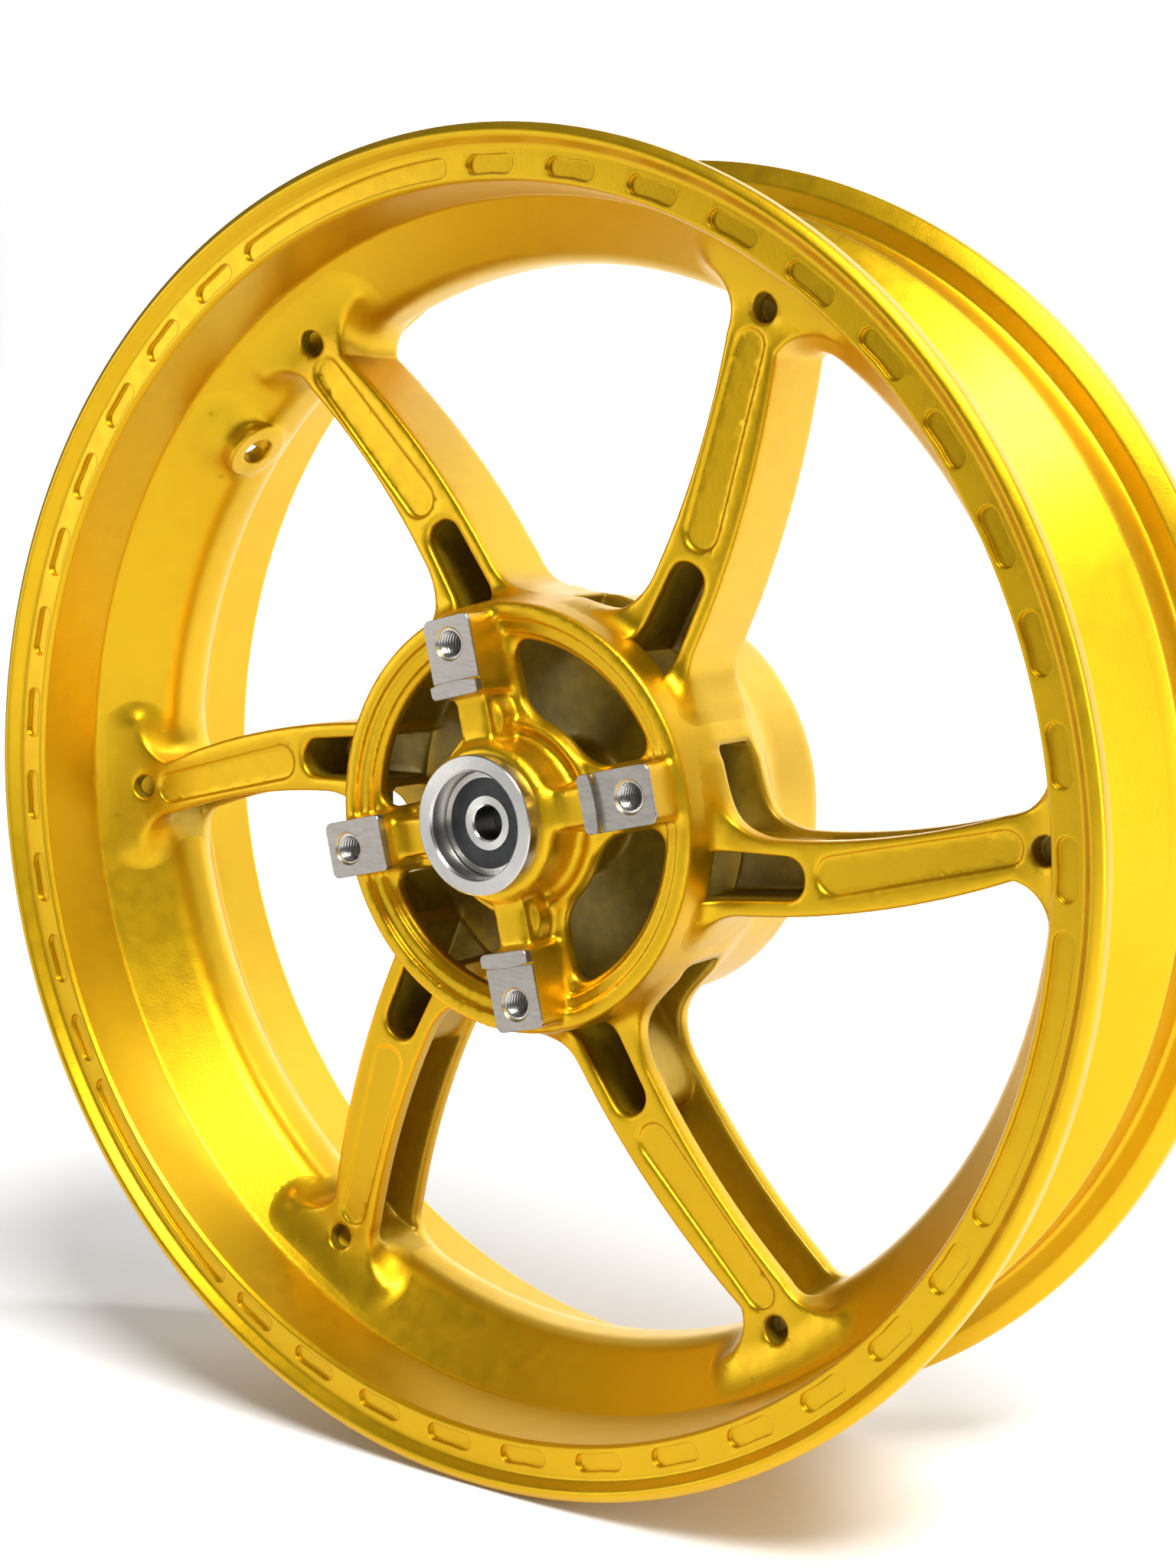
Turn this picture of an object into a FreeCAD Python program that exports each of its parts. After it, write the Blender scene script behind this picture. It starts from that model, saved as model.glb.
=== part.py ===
import FreeCAD, Part
import os
import Sketcher
from FreeCAD import Placement, Rotation, Vector

# Six-spoke cast motorcycle wheel with its two hub bearings and their distance tube.
# Millimetres.  The axle lies on Y, the brake disc side faces -Y and +Z is up.
# Angles on the wheel run from +X towards +Z.

doc = FreeCAD.newDocument("wheel")
X_AXIS, Y_AXIS, Z_AXIS = Vector(1, 0, 0), Vector(0, 1, 0), Vector(0, 0, 1)

# ---------------------------------------------------------------- driving dimensions
DIMENSIONS = [
    # rim, half section from the mid plane to the flange; both halves are alike
    ("bead_seat_r", "218.3", "17 inch bead seat radius"),
    ("flange_inner_y", "50.8", "half of the 4.00 inch rim width"),
    ("flange_crown_r", "232.3", "radius over the flange crown"),
    ("flange_neck_r", "226.0", "where the flange starts to curl outwards"),
    ("flange_crown_in_y", "54.6", "inner corner of the crown"),
    ("flange_crown_out_y", "60.0", "outer corner of the crown"),
    ("flange_lip_r", "228.6", "radius of the outermost edge"),
    ("flange_lip_y", "62.5", "half of the overall rim width"),
    ("band_outer_r", "225.2", "outer edge of the flat band"),
    ("band_y", "57.2", "face of the flat band"),
    ("band_inner_r", "214.6", "inner edge of the flat band"),
    ("barrel_front_r", "213.6", "inner surface just behind the band"),
    ("barrel_front_y", "55.4", "start of the inner surface"),
    ("barrel_ridge_r", "212.1", "inner surface at the ridge"),
    ("barrel_ridge_y", "30.5", "ridge where the well begins"),
    ("well_inner_r", "191.5", "inner surface of the well"),
    ("well_inner_y", "8.5", "half width of the flat of the well, inside"),
    ("well_outer_r", "196.3", "tyre side of the well"),
    ("well_outer_y", "7.3", "half width of the well, tyre side"),
    ("hump_in_r", "215.2", "foot of the safety hump"),
    ("hump_in_y", "27.6", "foot of the safety hump"),
    ("hump_r", "219.3", "top of the safety hump"),
    ("hump_y", "31.8", "top of the safety hump"),
    ("hump_out_y", "36.0", "where the hump meets the bead seat"),
    ("rim_mid_r", "=(well_inner_r + well_outer_r) / 2", "middle of the well wall"),
    ("rim_mid_y", "=(well_inner_y + well_outer_y) / 2", "middle of the well wall"),
    ("rim_slope_r", "=(barrel_ridge_r + hump_in_r) / 2", "middle of the wall at the ridge"),
    ("rim_slope_y", "=(barrel_ridge_y + hump_in_y) / 2", "middle of the wall at the ridge"),
    ("tyre_space_r", "245.0", "clear of the rim"),
    # fillets of the rim section
    ("round_well_in", "10.0", "inner corner of the well"),
    ("round_ridge", "5.0", "ridge of the inner surface"),
    ("round_band_in", "0.9", "inner edge of the flat band"),
    ("round_band_out", "2.0", "outer edge of the flat band and the crown"),
    ("round_lip", "1.8", "outermost edge and inner corner of the crown"),
    ("round_neck", "3.0", "root of the flange curl and foot of the hump"),
    ("round_seat", "2.0", "corner of the bead seat and top of the hump"),
    ("round_well_out", "6.0", "corner of the well, tyre side"),
    # allowances between tools and metal
    ("tool_clear", "1.0", "how far a cutting tool starts outside the metal"),
    ("joint_sink", "2.0", "how far a joined block runs into the wall it stands on"),
    # pockets in the flat band
    ("pocket_r", "219.3", "radius of the pocket row"),
    ("pocket_w", "6.6", "radial width of a pocket"),
    ("pocket_len", "20.0", "length of a short pocket"),
    ("pocket_depth", "1.6", "depth of a pocket"),
    ("pocket_pitch", "8.56", "angle between short pockets"),
    ("pocket_long_angle", "23.4", "angle between the end centres of a long pocket"),
    ("pocket_phase", "103.5", "angle of the middle of the first long pocket"),
    ("pocket_gap", "17.2", "angle from a long pocket's middle to the first short one"),
    # spokes
    ("spoke_front_y", "-20.0", "front face of a spoke"),
    ("spoke_depth", "32.0", "front face to rear face"),
    ("spoke_front_t", "7.5", "thickness of the front flange"),
    ("spoke_rear_t", "6.0", "thickness of the rear flange"),
    ("spoke_web_t", "5.0", "thickness of the closed flank"),
    ("trail_hub_x", "84.0", "trailing edge, foot of the hub flare"),
    ("trail_hub_z", "-29.0", "trailing edge, foot of the hub flare"),
    ("trail_rim_x", "184.0", "trailing edge, foot of the rim flare"),
    ("trail_rim_z", "-8.8", "trailing edge, foot of the rim flare"),
    ("trail_bow_r", "330.0", "bow radius of the trailing edge"),
    ("trail_flare_x", "67.0", "tip of the hub flare, trailing side"),
    ("trail_flare_z", "-37.0", "tip of the hub flare, trailing side"),
    ("trail_flare_r", "30.0", "radius of the hub flare, trailing side"),
    ("lead_hub_x", "98.0", "leading edge, foot of the hub flare"),
    ("lead_hub_z", "-2.2", "leading edge, foot of the hub flare"),
    ("lead_rim_x", "182.0", "leading edge, foot of the rim flare"),
    ("lead_rim_z", "11.6", "leading edge, foot of the rim flare"),
    ("lead_bow_r", "290.0", "bow radius of the leading edge"),
    ("lead_flare_x", "72.0", "tip of the hub flare, leading side"),
    ("lead_flare_z", "20.0", "tip of the hub flare, leading side"),
    ("lead_flare_r", "27.0", "radius of the hub flare, leading side"),
    ("rim_flare_x", "199.0", "tips of the rim flares"),
    ("rim_flare_lead_z", "27.0", "tip of the rim flare, leading side"),
    ("rim_flare_trail_z", "-24.0", "tip of the rim flare, trailing side"),
    ("rim_flare_r", "20.0", "radius of the rim flares"),
    ("recess_in_x", "121.0", "inner end centre of the long recess"),
    ("recess_in_z", "-12.2", "inner end centre of the long recess"),
    ("recess_out_x", "182.0", "outer end centre of the long recess"),
    ("recess_out_z", "1.4", "outer end centre of the long recess"),
    ("recess_in_r", "6.7", "end radius at the inner end"),
    ("recess_out_r", "5.8", "end radius at the outer end"),
    ("recess_in_low", "=recess_in_z - recess_in_r", "recess outline"),
    ("recess_in_high", "=recess_in_z + recess_in_r", "recess outline"),
    ("recess_out_low", "=recess_out_z - recess_out_r", "recess outline"),
    ("recess_out_high", "=recess_out_z + recess_out_r", "recess outline"),
    ("recess_depth", "1.3", "depth of the long recess"),
    ("slot_out_x", "109.0", "outer end of the lightening slot"),
    ("slot_in_x", "69.0", "inner end of the lightening slot"),
    ("slot_top_z", "-7.6", "leading edge of the slot"),
    ("slot_corner", "6.0", "corner radius of the slot"),
    ("slot_wall_t", "3.2", "wall around the slot inside the channel"),
    ("slot_wall_corner", "=slot_corner + slot_wall_t", "outer corner radius of that wall"),
    ("slot_wall_in_x", "72.0", "inner end of the wall, inside the hub drum"),
    ("slot_wall_out_x", "=slot_out_x + slot_wall_t", "outer end of the wall"),
    ("slot_wall_top_z", "=slot_top_z + slot_wall_t", "leading side of the wall"),
    ("slot_wall_in_z", "=slot_bot_in_z - slot_wall_t", "trailing side of the wall at the hub"),
    ("slot_wall_out_z", "=slot_bot_out_z - slot_wall_t", "trailing side of the wall, outer end"),
    ("slot_bot_in_z", "-25.0", "trailing edge of the slot at the hub"),
    ("slot_bot_out_z", "-21.6", "trailing edge of the slot at its outer end"),
    ("tip_hole_x", "195.3", "hole near the rim, radius from the axle"),
    ("tip_hole_z", "1.6", "hole near the rim, offset"),
    ("tip_hole_r", "4.7", "radius of the hole near the rim"),
    ("tip_hole_end_y", "-13.6", "bottom of the hole near the rim"),
    ("tip_hole_cut", "20.0", "length of its cutter"),
    ("channel_in_x", "58.0", "inner end of the side channel, inside the hub"),
    ("channel_in_z", "-27.0", "closed side of the channel at its inner end"),
    ("channel_mid_x", "84.0", "where the channel starts to follow the spoke"),
    ("channel_mid_z", "-23.8", "closed side of the channel at that point"),
    ("channel_out_x", "188.0", "outer end of the side channel"),
    ("channel_out_z", "-3.0", "closed side of the channel at its outer end"),
    ("channel_bow_r", "335.0", "bow radius of the closed side"),
    ("channel_open_z", "45.0", "clear of the leading edge"),
    ("channel_clear_x", "110.0", "where the channel leaves the hub opening"),
    # valve hole
    ("valve_angle", "136.7", "angle of the valve hole"),
    ("valve_y", "-8.8", "axial position of the valve hole"),
    ("valve_hole_r", "5.75", "11.5 mm valve hole"),
    ("valve_boss_r", "12.4", "radius of the valve boss"),
    ("valve_boss_in_r", "190.0", "radius from the axle to the boss face"),
    ("valve_boss_end_r", "207.0", "outer end of the boss, inside the wall of the well"),
    ("valve_seat_r", "8.5", "radius of the flat valve seat on the tyre side"),
    ("valve_seat_in_r", "196.0", "radius from the axle to the valve seat"),
    ("valve_cut", "20.0", "length of the valve seat cutter"),
    # hub
    ("hub_front_y", "-35.4", "front edge of the hub drum"),
    ("hub_front_r", "75.4", "radius of the hub drum at the front"),
    ("hub_belt_r", "78.0", "radius of the hub drum between the spokes"),
    ("hub_belt_front_y", "-14.0", "front end of the belt"),
    ("hub_belt_rear_y", "10.0", "rear end of the belt"),
    ("hub_rear_r", "75.0", "radius of the drum behind the spokes"),
    ("hub_rear_top_y", "20.0", "front end of the rear drum"),
    ("hub_rear_y", "50.0", "rear face of the drum"),
    ("hub_rear_edge_y", "47.0", "start of the rear chamfer"),
    ("hub_rear_edge_r", "72.0", "outer edge of the rear face"),
    ("chamber_r", "66.0", "rear chamber radius"),
    ("bulkhead_rear_y", "12.0", "rear face of the wall between the chambers"),
    ("bulkhead_front_y", "6.0", "front face of the wall between the chambers"),
    ("cavity_r", "70.5", "radius of the front chamber"),
    ("plate_rear_y", "-25.0", "back of the front plate"),
    ("plate_front_y", "-31.0", "front of the front plate"),
    ("step_inner_r", "65.0", "inner step on the front plate"),
    ("step_inner_y", "-33.0", "face of the inner step"),
    ("step_outer_r", "70.0", "outer step on the front plate"),
    ("collar_r", "27.6", "collar around the boss"),
    ("collar_y", "-46.0", "front of the collar"),
    ("collar_top_r", "25.4", "top of the collar taper"),
    ("collar_top_y", "-48.0", "top of the collar taper"),
    ("boss_r", "24.25", "machined boss"),
    ("boss_front_y", "-54.3", "machined face of the boss"),
    ("boss_rear_y", "31.0", "rear face of the boss"),
    ("tube_r", "23.5", "outside of the boss inside the hub"),
    ("seat_r", "18.5", "bearing seat"),
    ("seat_mouth_r", "19.1", "chamfered mouth of the bearing seat"),
    ("seat_mouth", "0.6", "depth of the mouth chamfer"),
    ("relief_r", "15.5", "clearance bore between the seats"),
    ("mouth_front_y", "=boss_front_y + seat_mouth", "end of the disc side mouth chamfer"),
    ("mouth_rear_y", "=boss_rear_y - seat_mouth", "end of the drive side mouth chamfer"),
    ("seat_front_y", "=bearing_front_y + bearing_b", "shoulder behind the disc side bearing"),
    ("seat_rear_y", "=bearing_rear_y - bearing_b", "shoulder before the drive side bearing"),
    ("bearing_front_y", "-46.6", "outer face of the disc side bearing"),
    ("bearing_rear_y", "30.0", "outer face of the drive side bearing"),
    ("round_hub_edge", "1.2", "outer edge of the hub's front"),
    ("round_step", "0.8", "edges of the steps on the front plate"),
    ("round_belt_front", "10.0", "front end of the belt"),
    ("round_belt_rear", "6.0", "rear end of the belt and its foot"),
    ("round_collar_top", "1.0", "edge of the collar"),
    ("round_collar_foot", "2.0", "foot of the collar"),
    ("window_outer_r", "62.5", "outer arc of a window"),
    ("window_inner_r", "36.0", "inner arc of a window"),
    ("window_side", "12.0", "half width of the arm between two windows"),
    ("window_corner", "7.5", "corner radius of a window"),
    ("window_start_y", "=plate_front_y - 5", "front end of a window cutter"),
    ("window_cut", "20.0", "length of a window cutter"),
    ("hub_slot_z", "27.0", "end of the hub opening beside each spoke"),
    ("vane_t", "8.0", "thickness of a damper vane"),
    ("vane_in_r", "40.0", "inner edge of a damper vane"),
    ("vane_end_y", "48.0", "rear end of a damper vane"),
    # brake disc mounting
    ("pad_phase", "12.0", "angle of the first disc pad"),
    ("pad_r", "62.85", "disc bolt circle radius"),
    ("pad_w", "20.0", "width of a pad"),
    ("pad_in_r", "50.0", "inner end of a pad face"),
    ("pad_out_r", "72.0", "outer end of a pad face"),
    ("pad_y", "-49.4", "pad face"),
    ("lug_in_r", "44.5", "inner end of the centring lug"),
    ("lug_y", "-51.6", "face of the centring lug"),
    ("pad_corner", "2.5", "corner radius of a pad"),
    ("lug_corner", "1.9", "corner radius of a lug"),
    ("block_end_y", "=plate_rear_y - joint_sink", "rear end of the pad and arm blocks, inside the plate"),
    ("arm_in_r", "23.0", "inner end of the arm, inside the boss"),
    ("arm_w", "13.0", "width of the arm between boss and pad"),
    ("arm_y", "-44.0", "front of the arm"),
    ("arm_boss_r", "9.0", "round on the arm"),
    ("arm_boss_at", "35.0", "radius of the round on the arm"),
    ("arm_boss_y", "-39.5", "front of the round on the arm"),
    ("disc_hole_r", "4.25", "tapping radius for M10"),
    ("disc_hole_depth", "17.0", "depth of a disc bolt hole"),
    ("disc_sink_r", "6.1", "mouth radius of the countersink"),
    # bearings 12 x 37 x 12
    ("bearing_b", "12.0", "bearing width"),
    ("bearing_bore_r", "6.0", "bearing bore"),
    ("bearing_od_r", "18.5", "bearing outside radius"),
    ("ring_edge", "0.6", "corner chamfer of the rings"),
    ("ring_half_b", "=bearing_b / 2", "half of the bearing width"),
    ("ring_edge_y", "=bearing_b / 2 - ring_edge", "start of the corner chamfer"),
    ("ring_outer_edge_r", "=bearing_od_r - ring_edge", "outer ring, inner end of the chamfer"),
    ("ring_bore_edge_r", "=bearing_bore_r + ring_edge", "inner ring, outer end of the chamfer"),
    ("inner_land_r", "9.4", "shoulder of the inner ring"),
    ("outer_land_r", "15.0", "shoulder of the outer ring"),
    ("seal_seat_r", "15.8", "seal groove in the outer ring"),
    ("seal_seat_y", "4.7", "seal groove, from the bearing's middle"),
    ("pitch_r", "12.25", "ball pitch radius"),
    ("ball_r", "3.969", "ball radius"),
    ("ball_play", "0.03", "running clearance of the balls"),
    ("groove_r", "4.14", "raceway groove radius"),
    ("cage_in_r", "10.9", "inside of the cage"),
    ("cage_out_r", "13.7", "outside of the cage"),
    ("cage_t", "0.7", "thickness of the cage strip"),
    ("cage_cup_r", "4.6", "outside of a cage cup"),
    ("cage_pocket_r", "4.02", "inside of a cage cup"),
    ("rivet_r", "0.5", "cage rivet"),
    ("rivet_head_r", "0.9", "head of a cage rivet"),
    ("rivet_head_t", "0.35", "height of a rivet head"),
    ("seal_in_r", "9.46", "seal lip"),
    ("seal_out_r", "15.78", "outside of the seal rubber"),
    ("seal_y", "5.1", "inner face of the seal rubber"),
    ("seal_t", "0.65", "thickness of the seal rubber"),
    ("shield_in_r", "10.4", "inside of the seal's steel ring"),
    ("shield_out_r", "15.5", "outside of the seal's steel ring"),
    # distance tube
    ("tube_out_r", "8.6", "outside of the distance tube"),
    ("tube_in_r", "6.15", "inside of the distance tube"),
]

sheet = doc.addObject("Spreadsheet::Sheet", "D")
for row, (alias, value, note) in enumerate(DIMENSIONS, start=1):
    sheet.set("A%d" % row, alias)
    sheet.set("B%d" % row, value)
    sheet.set("C%d" % row, note)
    sheet.setAlias("B%d" % row, alias)
doc.recompute()


# ---------------------------------------------------------------- helpers
def dim(name):
    """Value of a driving dimension."""
    return float(sheet.get(name))


def bind(obj, **links):
    """Bind properties of an object to expressions over the sheet."""
    for prop, expression in links.items():
        obj.setExpression(prop.replace("__", "."), expression)
    return obj


def on_axle(at_y, turn=0.0):
    """Placement on the axle at y, turned by an angle counted from +X towards +Z."""
    return Placement(Vector(0, at_y, 0), Rotation(Y_AXIS, -turn))


def add_sketch(name, placement=None):
    sketch = doc.addObject("Sketcher::SketchObject", name)
    if placement is not None:
        sketch.Placement = placement
    return sketch


def pin_point(sketch, geo, pos, names):
    """Tie a sketch point to two driving dimensions."""
    for kind, name in zip(("DistanceX", "DistanceY"), names):
        if name == "zero":
            place = Sketcher.Constraint("PointOnObject", geo, pos, -2 if kind == "DistanceX" else -1)
            sketch.addConstraint(place)
            continue
        index = sketch.addConstraint(Sketcher.Constraint(kind, -1, 1, geo, pos, dim(name)))
        sketch.setExpression("Constraints[%d]" % index, "D." + name)


def outline(name, points, arcs=None, placement=None):
    """Closed sketch through named points; arcs maps a side number to (radius name, bulge side)."""
    arcs = arcs or {}
    sketch = add_sketch(name, placement)
    xy = [Vector(0 if a == "zero" else dim(a), 0 if b == "zero" else dim(b), 0) for a, b in points]
    count = len(points)
    ends = {}
    for i in range(count):
        a, b = xy[i], xy[(i + 1) % count]
        if i in arcs:
            radius_name, side = arcs[i]
            radius = dim(radius_name)
            half = (b - a).multiply(0.5)
            rise = (radius * radius - half.Length * half.Length) ** 0.5
            normal = Vector(-half.y, half.x, 0).normalize().multiply(side)
            centre = a + half + normal.multiply(rise)
            first = (a - centre).getAngle(X_AXIS) * (1 if (a - centre).y >= 0 else -1)
            last = (b - centre).getAngle(X_AXIS) * (1 if (b - centre).y >= 0 else -1)
            circle = Part.Circle(centre, Z_AXIS, radius)
            start, stop = (first, last) if side > 0 else (last, first)
            geo = sketch.addGeometry(Part.ArcOfCircle(circle, start, stop), False)
            ends[i] = (geo, 1, 2) if side > 0 else (geo, 2, 1)
            index = sketch.addConstraint(Sketcher.Constraint("Radius", geo, radius))
            sketch.setExpression("Constraints[%d]" % index, "D." + radius_name)
        else:
            geo = sketch.addGeometry(Part.LineSegment(a, b), False)
            ends[i] = (geo, 1, 2)
    for i in range(count):
        j = (i + 1) % count
        sketch.addConstraint(Sketcher.Constraint("Coincident", ends[i][0], ends[i][2],
                                                 ends[j][0], ends[j][1]))
    for i in range(count):
        pin_point(sketch, ends[i][0], ends[i][1], points[i])
    return sketch


def revolve(name, sketch):
    """Full turn of a sketch about the axle."""
    body = doc.addObject("Part::Revolution", name)
    body.Source = sketch
    body.Axis, body.Base, body.Angle = Y_AXIS, Vector(0, 0, 0), 360
    body.Solid = True
    return body


def extrude(name, sketch, length):
    """Extrude a sketch of the wheel plane rearwards by a named length."""
    body = doc.addObject("Part::Extrusion", name)
    body.Base = sketch
    body.DirMode = "Custom"
    body.Dir = Y_AXIS
    body.Solid = True
    return bind(body, LengthFwd=length)


def cylinder(name, radius, height, placement, angle=None):
    """Cylinder that grows along +Y from its placement."""
    body = doc.addObject("Part::Cylinder", name)
    if angle is not None:
        bind(body, Angle=angle)
    body.Placement = placement.multiply(Placement(Vector(), Rotation(X_AXIS, -90)))
    return bind(body, Radius=radius, Height=height)


def box(name, length, width, height, placement):
    body = doc.addObject("Part::Box", name)
    body.Placement = placement
    return bind(body, Length=length, Width=width, Height=height)


def sphere(name, radius, placement):
    body = doc.addObject("Part::Sphere", name)
    body.Placement = placement
    return bind(body, Radius=radius)


def fuse(name, parts):
    body = doc.addObject("Part::MultiFuse", name)
    body.Shapes = parts
    body.Refine = True
    return body


def common(name, parts):
    body = doc.addObject("Part::MultiCommon", name)
    body.Shapes = parts
    return body


def cut(name, base, tool):
    body = doc.addObject("Part::Cut", name)
    body.Base, body.Tool = base, tool
    return body


def gather(name, parts):
    body = doc.addObject("Part::Compound", name)
    body.Links = parts
    return body


def link(name, source, placement):
    copy = doc.addObject("App::Link", name)
    copy.LinkedObject = source
    copy.Placement = placement
    return copy


def ring_copies(name, source, angles):
    """Compound of a source turned about the axle to each angle."""
    doc.recompute()
    copies = [link("%s_%d" % (name, i), source, on_axle(0, a).multiply(source.Placement))
              for i, a in enumerate(angles)]
    return gather(name, copies)


def round_upright(name, base, radius_name):
    """Fillet the edges of a base that run along the axle."""
    doc.recompute()
    radius = dim(radius_name)
    body = doc.addObject("Part::Fillet", name)
    body.Base = base
    body.Edges = [(i, radius, radius) for i, e in enumerate(base.Shape.Edges, start=1) if along_y(e)]
    return body


def round_rings(name, base, rounds):
    """Fillet full circles about the axle; rounds lists the names of radius, y and fillet."""
    doc.recompute()
    body = doc.addObject("Part::Fillet", name)
    body.Base = base
    body.Edges = [(i, dim(size), dim(size)) for i, e in enumerate(base.Shape.Edges, start=1)
                  for r_name, y_name, size in rounds if ring_at(e, dim(r_name), dim(y_name))]
    return body


def along_y(edge):
    a, b = edge.Vertexes[0].Point, edge.Vertexes[-1].Point
    return abs(a.x - b.x) < 1e-6 and abs(a.z - b.z) < 1e-6 and abs(a.y - b.y) > 1e-6


def ring_at(edge, radius, y):
    """True for a full circle about the axle."""
    curve = edge.Curve
    return (hasattr(curve, "Radius") and abs(curve.Radius - radius) < 1e-4
            and abs(edge.BoundBox.YMin - y) < 1e-4 and abs(edge.BoundBox.YMax - y) < 1e-4)


WHEEL_PLANE = Rotation(X_AXIS, 90)      # sketch x stays x, sketch y becomes wheel z

# ---------------------------------------------------------------- rim
rim_sketch = outline("rim_section", [
    ("well_inner_r", "zero"), ("well_inner_r", "well_inner_y"),
    ("barrel_ridge_r", "barrel_ridge_y"), ("barrel_front_r", "barrel_front_y"),
    ("band_inner_r", "band_y"), ("band_outer_r", "band_y"),
    ("flange_lip_r", "flange_lip_y"), ("flange_crown_r", "flange_crown_out_y"),
    ("flange_crown_r", "flange_crown_in_y"), ("flange_neck_r", "flange_inner_y"),
    ("bead_seat_r", "flange_inner_y"), ("bead_seat_r", "hump_out_y"),
    ("hump_r", "hump_y"), ("hump_in_r", "hump_in_y"),
    ("well_outer_r", "well_outer_y"), ("well_outer_r", "zero")])
rim_turned = revolve("rim_turned", rim_sketch)
rim_rear = round_rings("rim_rear", rim_turned, [
    ("well_inner_r", "well_inner_y", "round_well_in"),
    ("barrel_ridge_r", "barrel_ridge_y", "round_ridge"),
    ("band_inner_r", "band_y", "round_band_in"), ("band_outer_r", "band_y", "round_band_out"),
    ("flange_lip_r", "flange_lip_y", "round_lip"),
    ("flange_crown_r", "flange_crown_out_y", "round_band_out"),
    ("flange_crown_r", "flange_crown_in_y", "round_lip"),
    ("flange_neck_r", "flange_inner_y", "round_neck"),
    ("bead_seat_r", "flange_inner_y", "round_seat"), ("hump_r", "hump_y", "round_seat"),
    ("hump_in_r", "hump_in_y", "round_neck"), ("well_outer_r", "well_outer_y", "round_well_out")])
rim_front = doc.addObject("Part::Mirroring", "rim_front")
rim_front.Source = rim_rear
rim_front.Normal = Y_AXIS
rim = fuse("rim", [rim_front, rim_rear])

# pockets cast into the flat band of the disc side flange
AT_BAND = "-D.band_y - D.tool_clear"
pocket_mid = box("pocket_mid", "D.pocket_w", "D.pocket_depth + D.tool_clear",
                 "D.pocket_len - D.pocket_w", Placement())
bind(pocket_mid, Placement__Base__x="D.pocket_r - D.pocket_w / 2", Placement__Base__y=AT_BAND,
     Placement__Base__z="-(D.pocket_len - D.pocket_w) / 2")
pocket_ends = []
for side, sign in (("a", "-"), ("b", "")):
    end = cylinder("pocket_end_" + side, "D.pocket_w / 2", "D.pocket_depth + D.tool_clear", Placement())
    bind(end, Placement__Base__x="D.pocket_r", Placement__Base__y=AT_BAND,
         Placement__Base__z=sign + "(D.pocket_len - D.pocket_w) / 2")
    pocket_ends.append(end)
short_pocket = fuse("short_pocket", [pocket_mid] + pocket_ends)
long_outer = cylinder("long_outer", "D.pocket_r + D.pocket_w / 2", "D.pocket_depth + D.tool_clear",
                      Placement(), "D.pocket_long_angle")
long_inner = cylinder("long_inner", "D.pocket_r - D.pocket_w / 2", "D.pocket_depth + D.tool_clear",
                      Placement())
long_arc = cut("long_arc", long_outer, long_inner)
for part in (long_outer, long_inner):
    bind(part, Placement__Base__y=AT_BAND)
long_ends = []
for side, turn in (("a", 0), ("b", -1)):
    end = cylinder("long_end_" + side, "D.pocket_w / 2", "D.pocket_depth + D.tool_clear", Placement())
    angle = "%d * D.pocket_long_angle" % turn
    bind(end, Placement__Base__x="D.pocket_r * cos(%s)" % angle, Placement__Base__y=AT_BAND,
         Placement__Base__z="D.pocket_r * sin(%s)" % angle)
    long_ends.append(end)
long_pocket = fuse("long_pocket", [long_arc] + long_ends)
doc.recompute()

SHORT_POCKETS = 11     # in each third of the rim
short_angles = [dim("pocket_phase") - dim("pocket_gap") - i * dim("pocket_pitch") - 120 * k
                for k in range(3) for i in range(SHORT_POCKETS)]
long_angles = [dim("pocket_phase") + dim("pocket_long_angle") / 2 - 120 * k for k in range(3)]
short_pockets = ring_copies("short_pockets", short_pocket, short_angles)
long_pockets = ring_copies("long_pockets", long_pocket, long_angles)

# ---------------------------------------------------------------- hub
hub_sketch = outline("hub_section", [
    ("seat_mouth_r", "boss_front_y"), ("boss_r", "boss_front_y"), ("boss_r", "collar_top_y"),
    ("collar_top_r", "collar_top_y"), ("collar_r", "collar_y"), ("collar_r", "plate_front_y"),
    ("step_inner_r", "plate_front_y"), ("step_inner_r", "step_inner_y"),
    ("step_outer_r", "step_inner_y"), ("step_outer_r", "hub_front_y"),
    ("hub_front_r", "hub_front_y"), ("hub_belt_r", "hub_belt_front_y"),
    ("hub_belt_r", "hub_belt_rear_y"), ("hub_rear_r", "hub_rear_top_y"),
    ("hub_rear_r", "hub_rear_edge_y"), ("hub_rear_edge_r", "hub_rear_y"),
    ("chamber_r", "hub_rear_y"), ("chamber_r", "bulkhead_rear_y"),
    ("tube_r", "bulkhead_rear_y"), ("tube_r", "boss_rear_y"), ("seat_mouth_r", "boss_rear_y"),
    ("seat_r", "mouth_rear_y"), ("seat_r", "seat_rear_y"), ("relief_r", "seat_rear_y"),
    ("relief_r", "seat_front_y"), ("seat_r", "seat_front_y"), ("seat_r", "mouth_front_y")])
hub_turned = revolve("hub_turned", hub_sketch)
hub_solid = round_rings("hub_solid", hub_turned, [
    ("hub_front_r", "hub_front_y", "round_hub_edge"), ("step_outer_r", "hub_front_y", "round_step"),
    ("step_inner_r", "step_inner_y", "round_step"),
    ("hub_belt_r", "hub_belt_front_y", "round_belt_front"),
    ("hub_belt_r", "hub_belt_rear_y", "round_belt_rear"),
    ("hub_rear_r", "hub_rear_top_y", "round_belt_rear"),
    ("collar_r", "collar_y", "round_collar_top"), ("collar_r", "plate_front_y", "round_collar_foot")])
cavity_sketch = outline("cavity_section", [
    ("tube_r", "plate_rear_y"), ("cavity_r", "plate_rear_y"),
    ("cavity_r", "bulkhead_front_y"), ("tube_r", "bulkhead_front_y")])
cavity = revolve("cavity", cavity_sketch)

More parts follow.
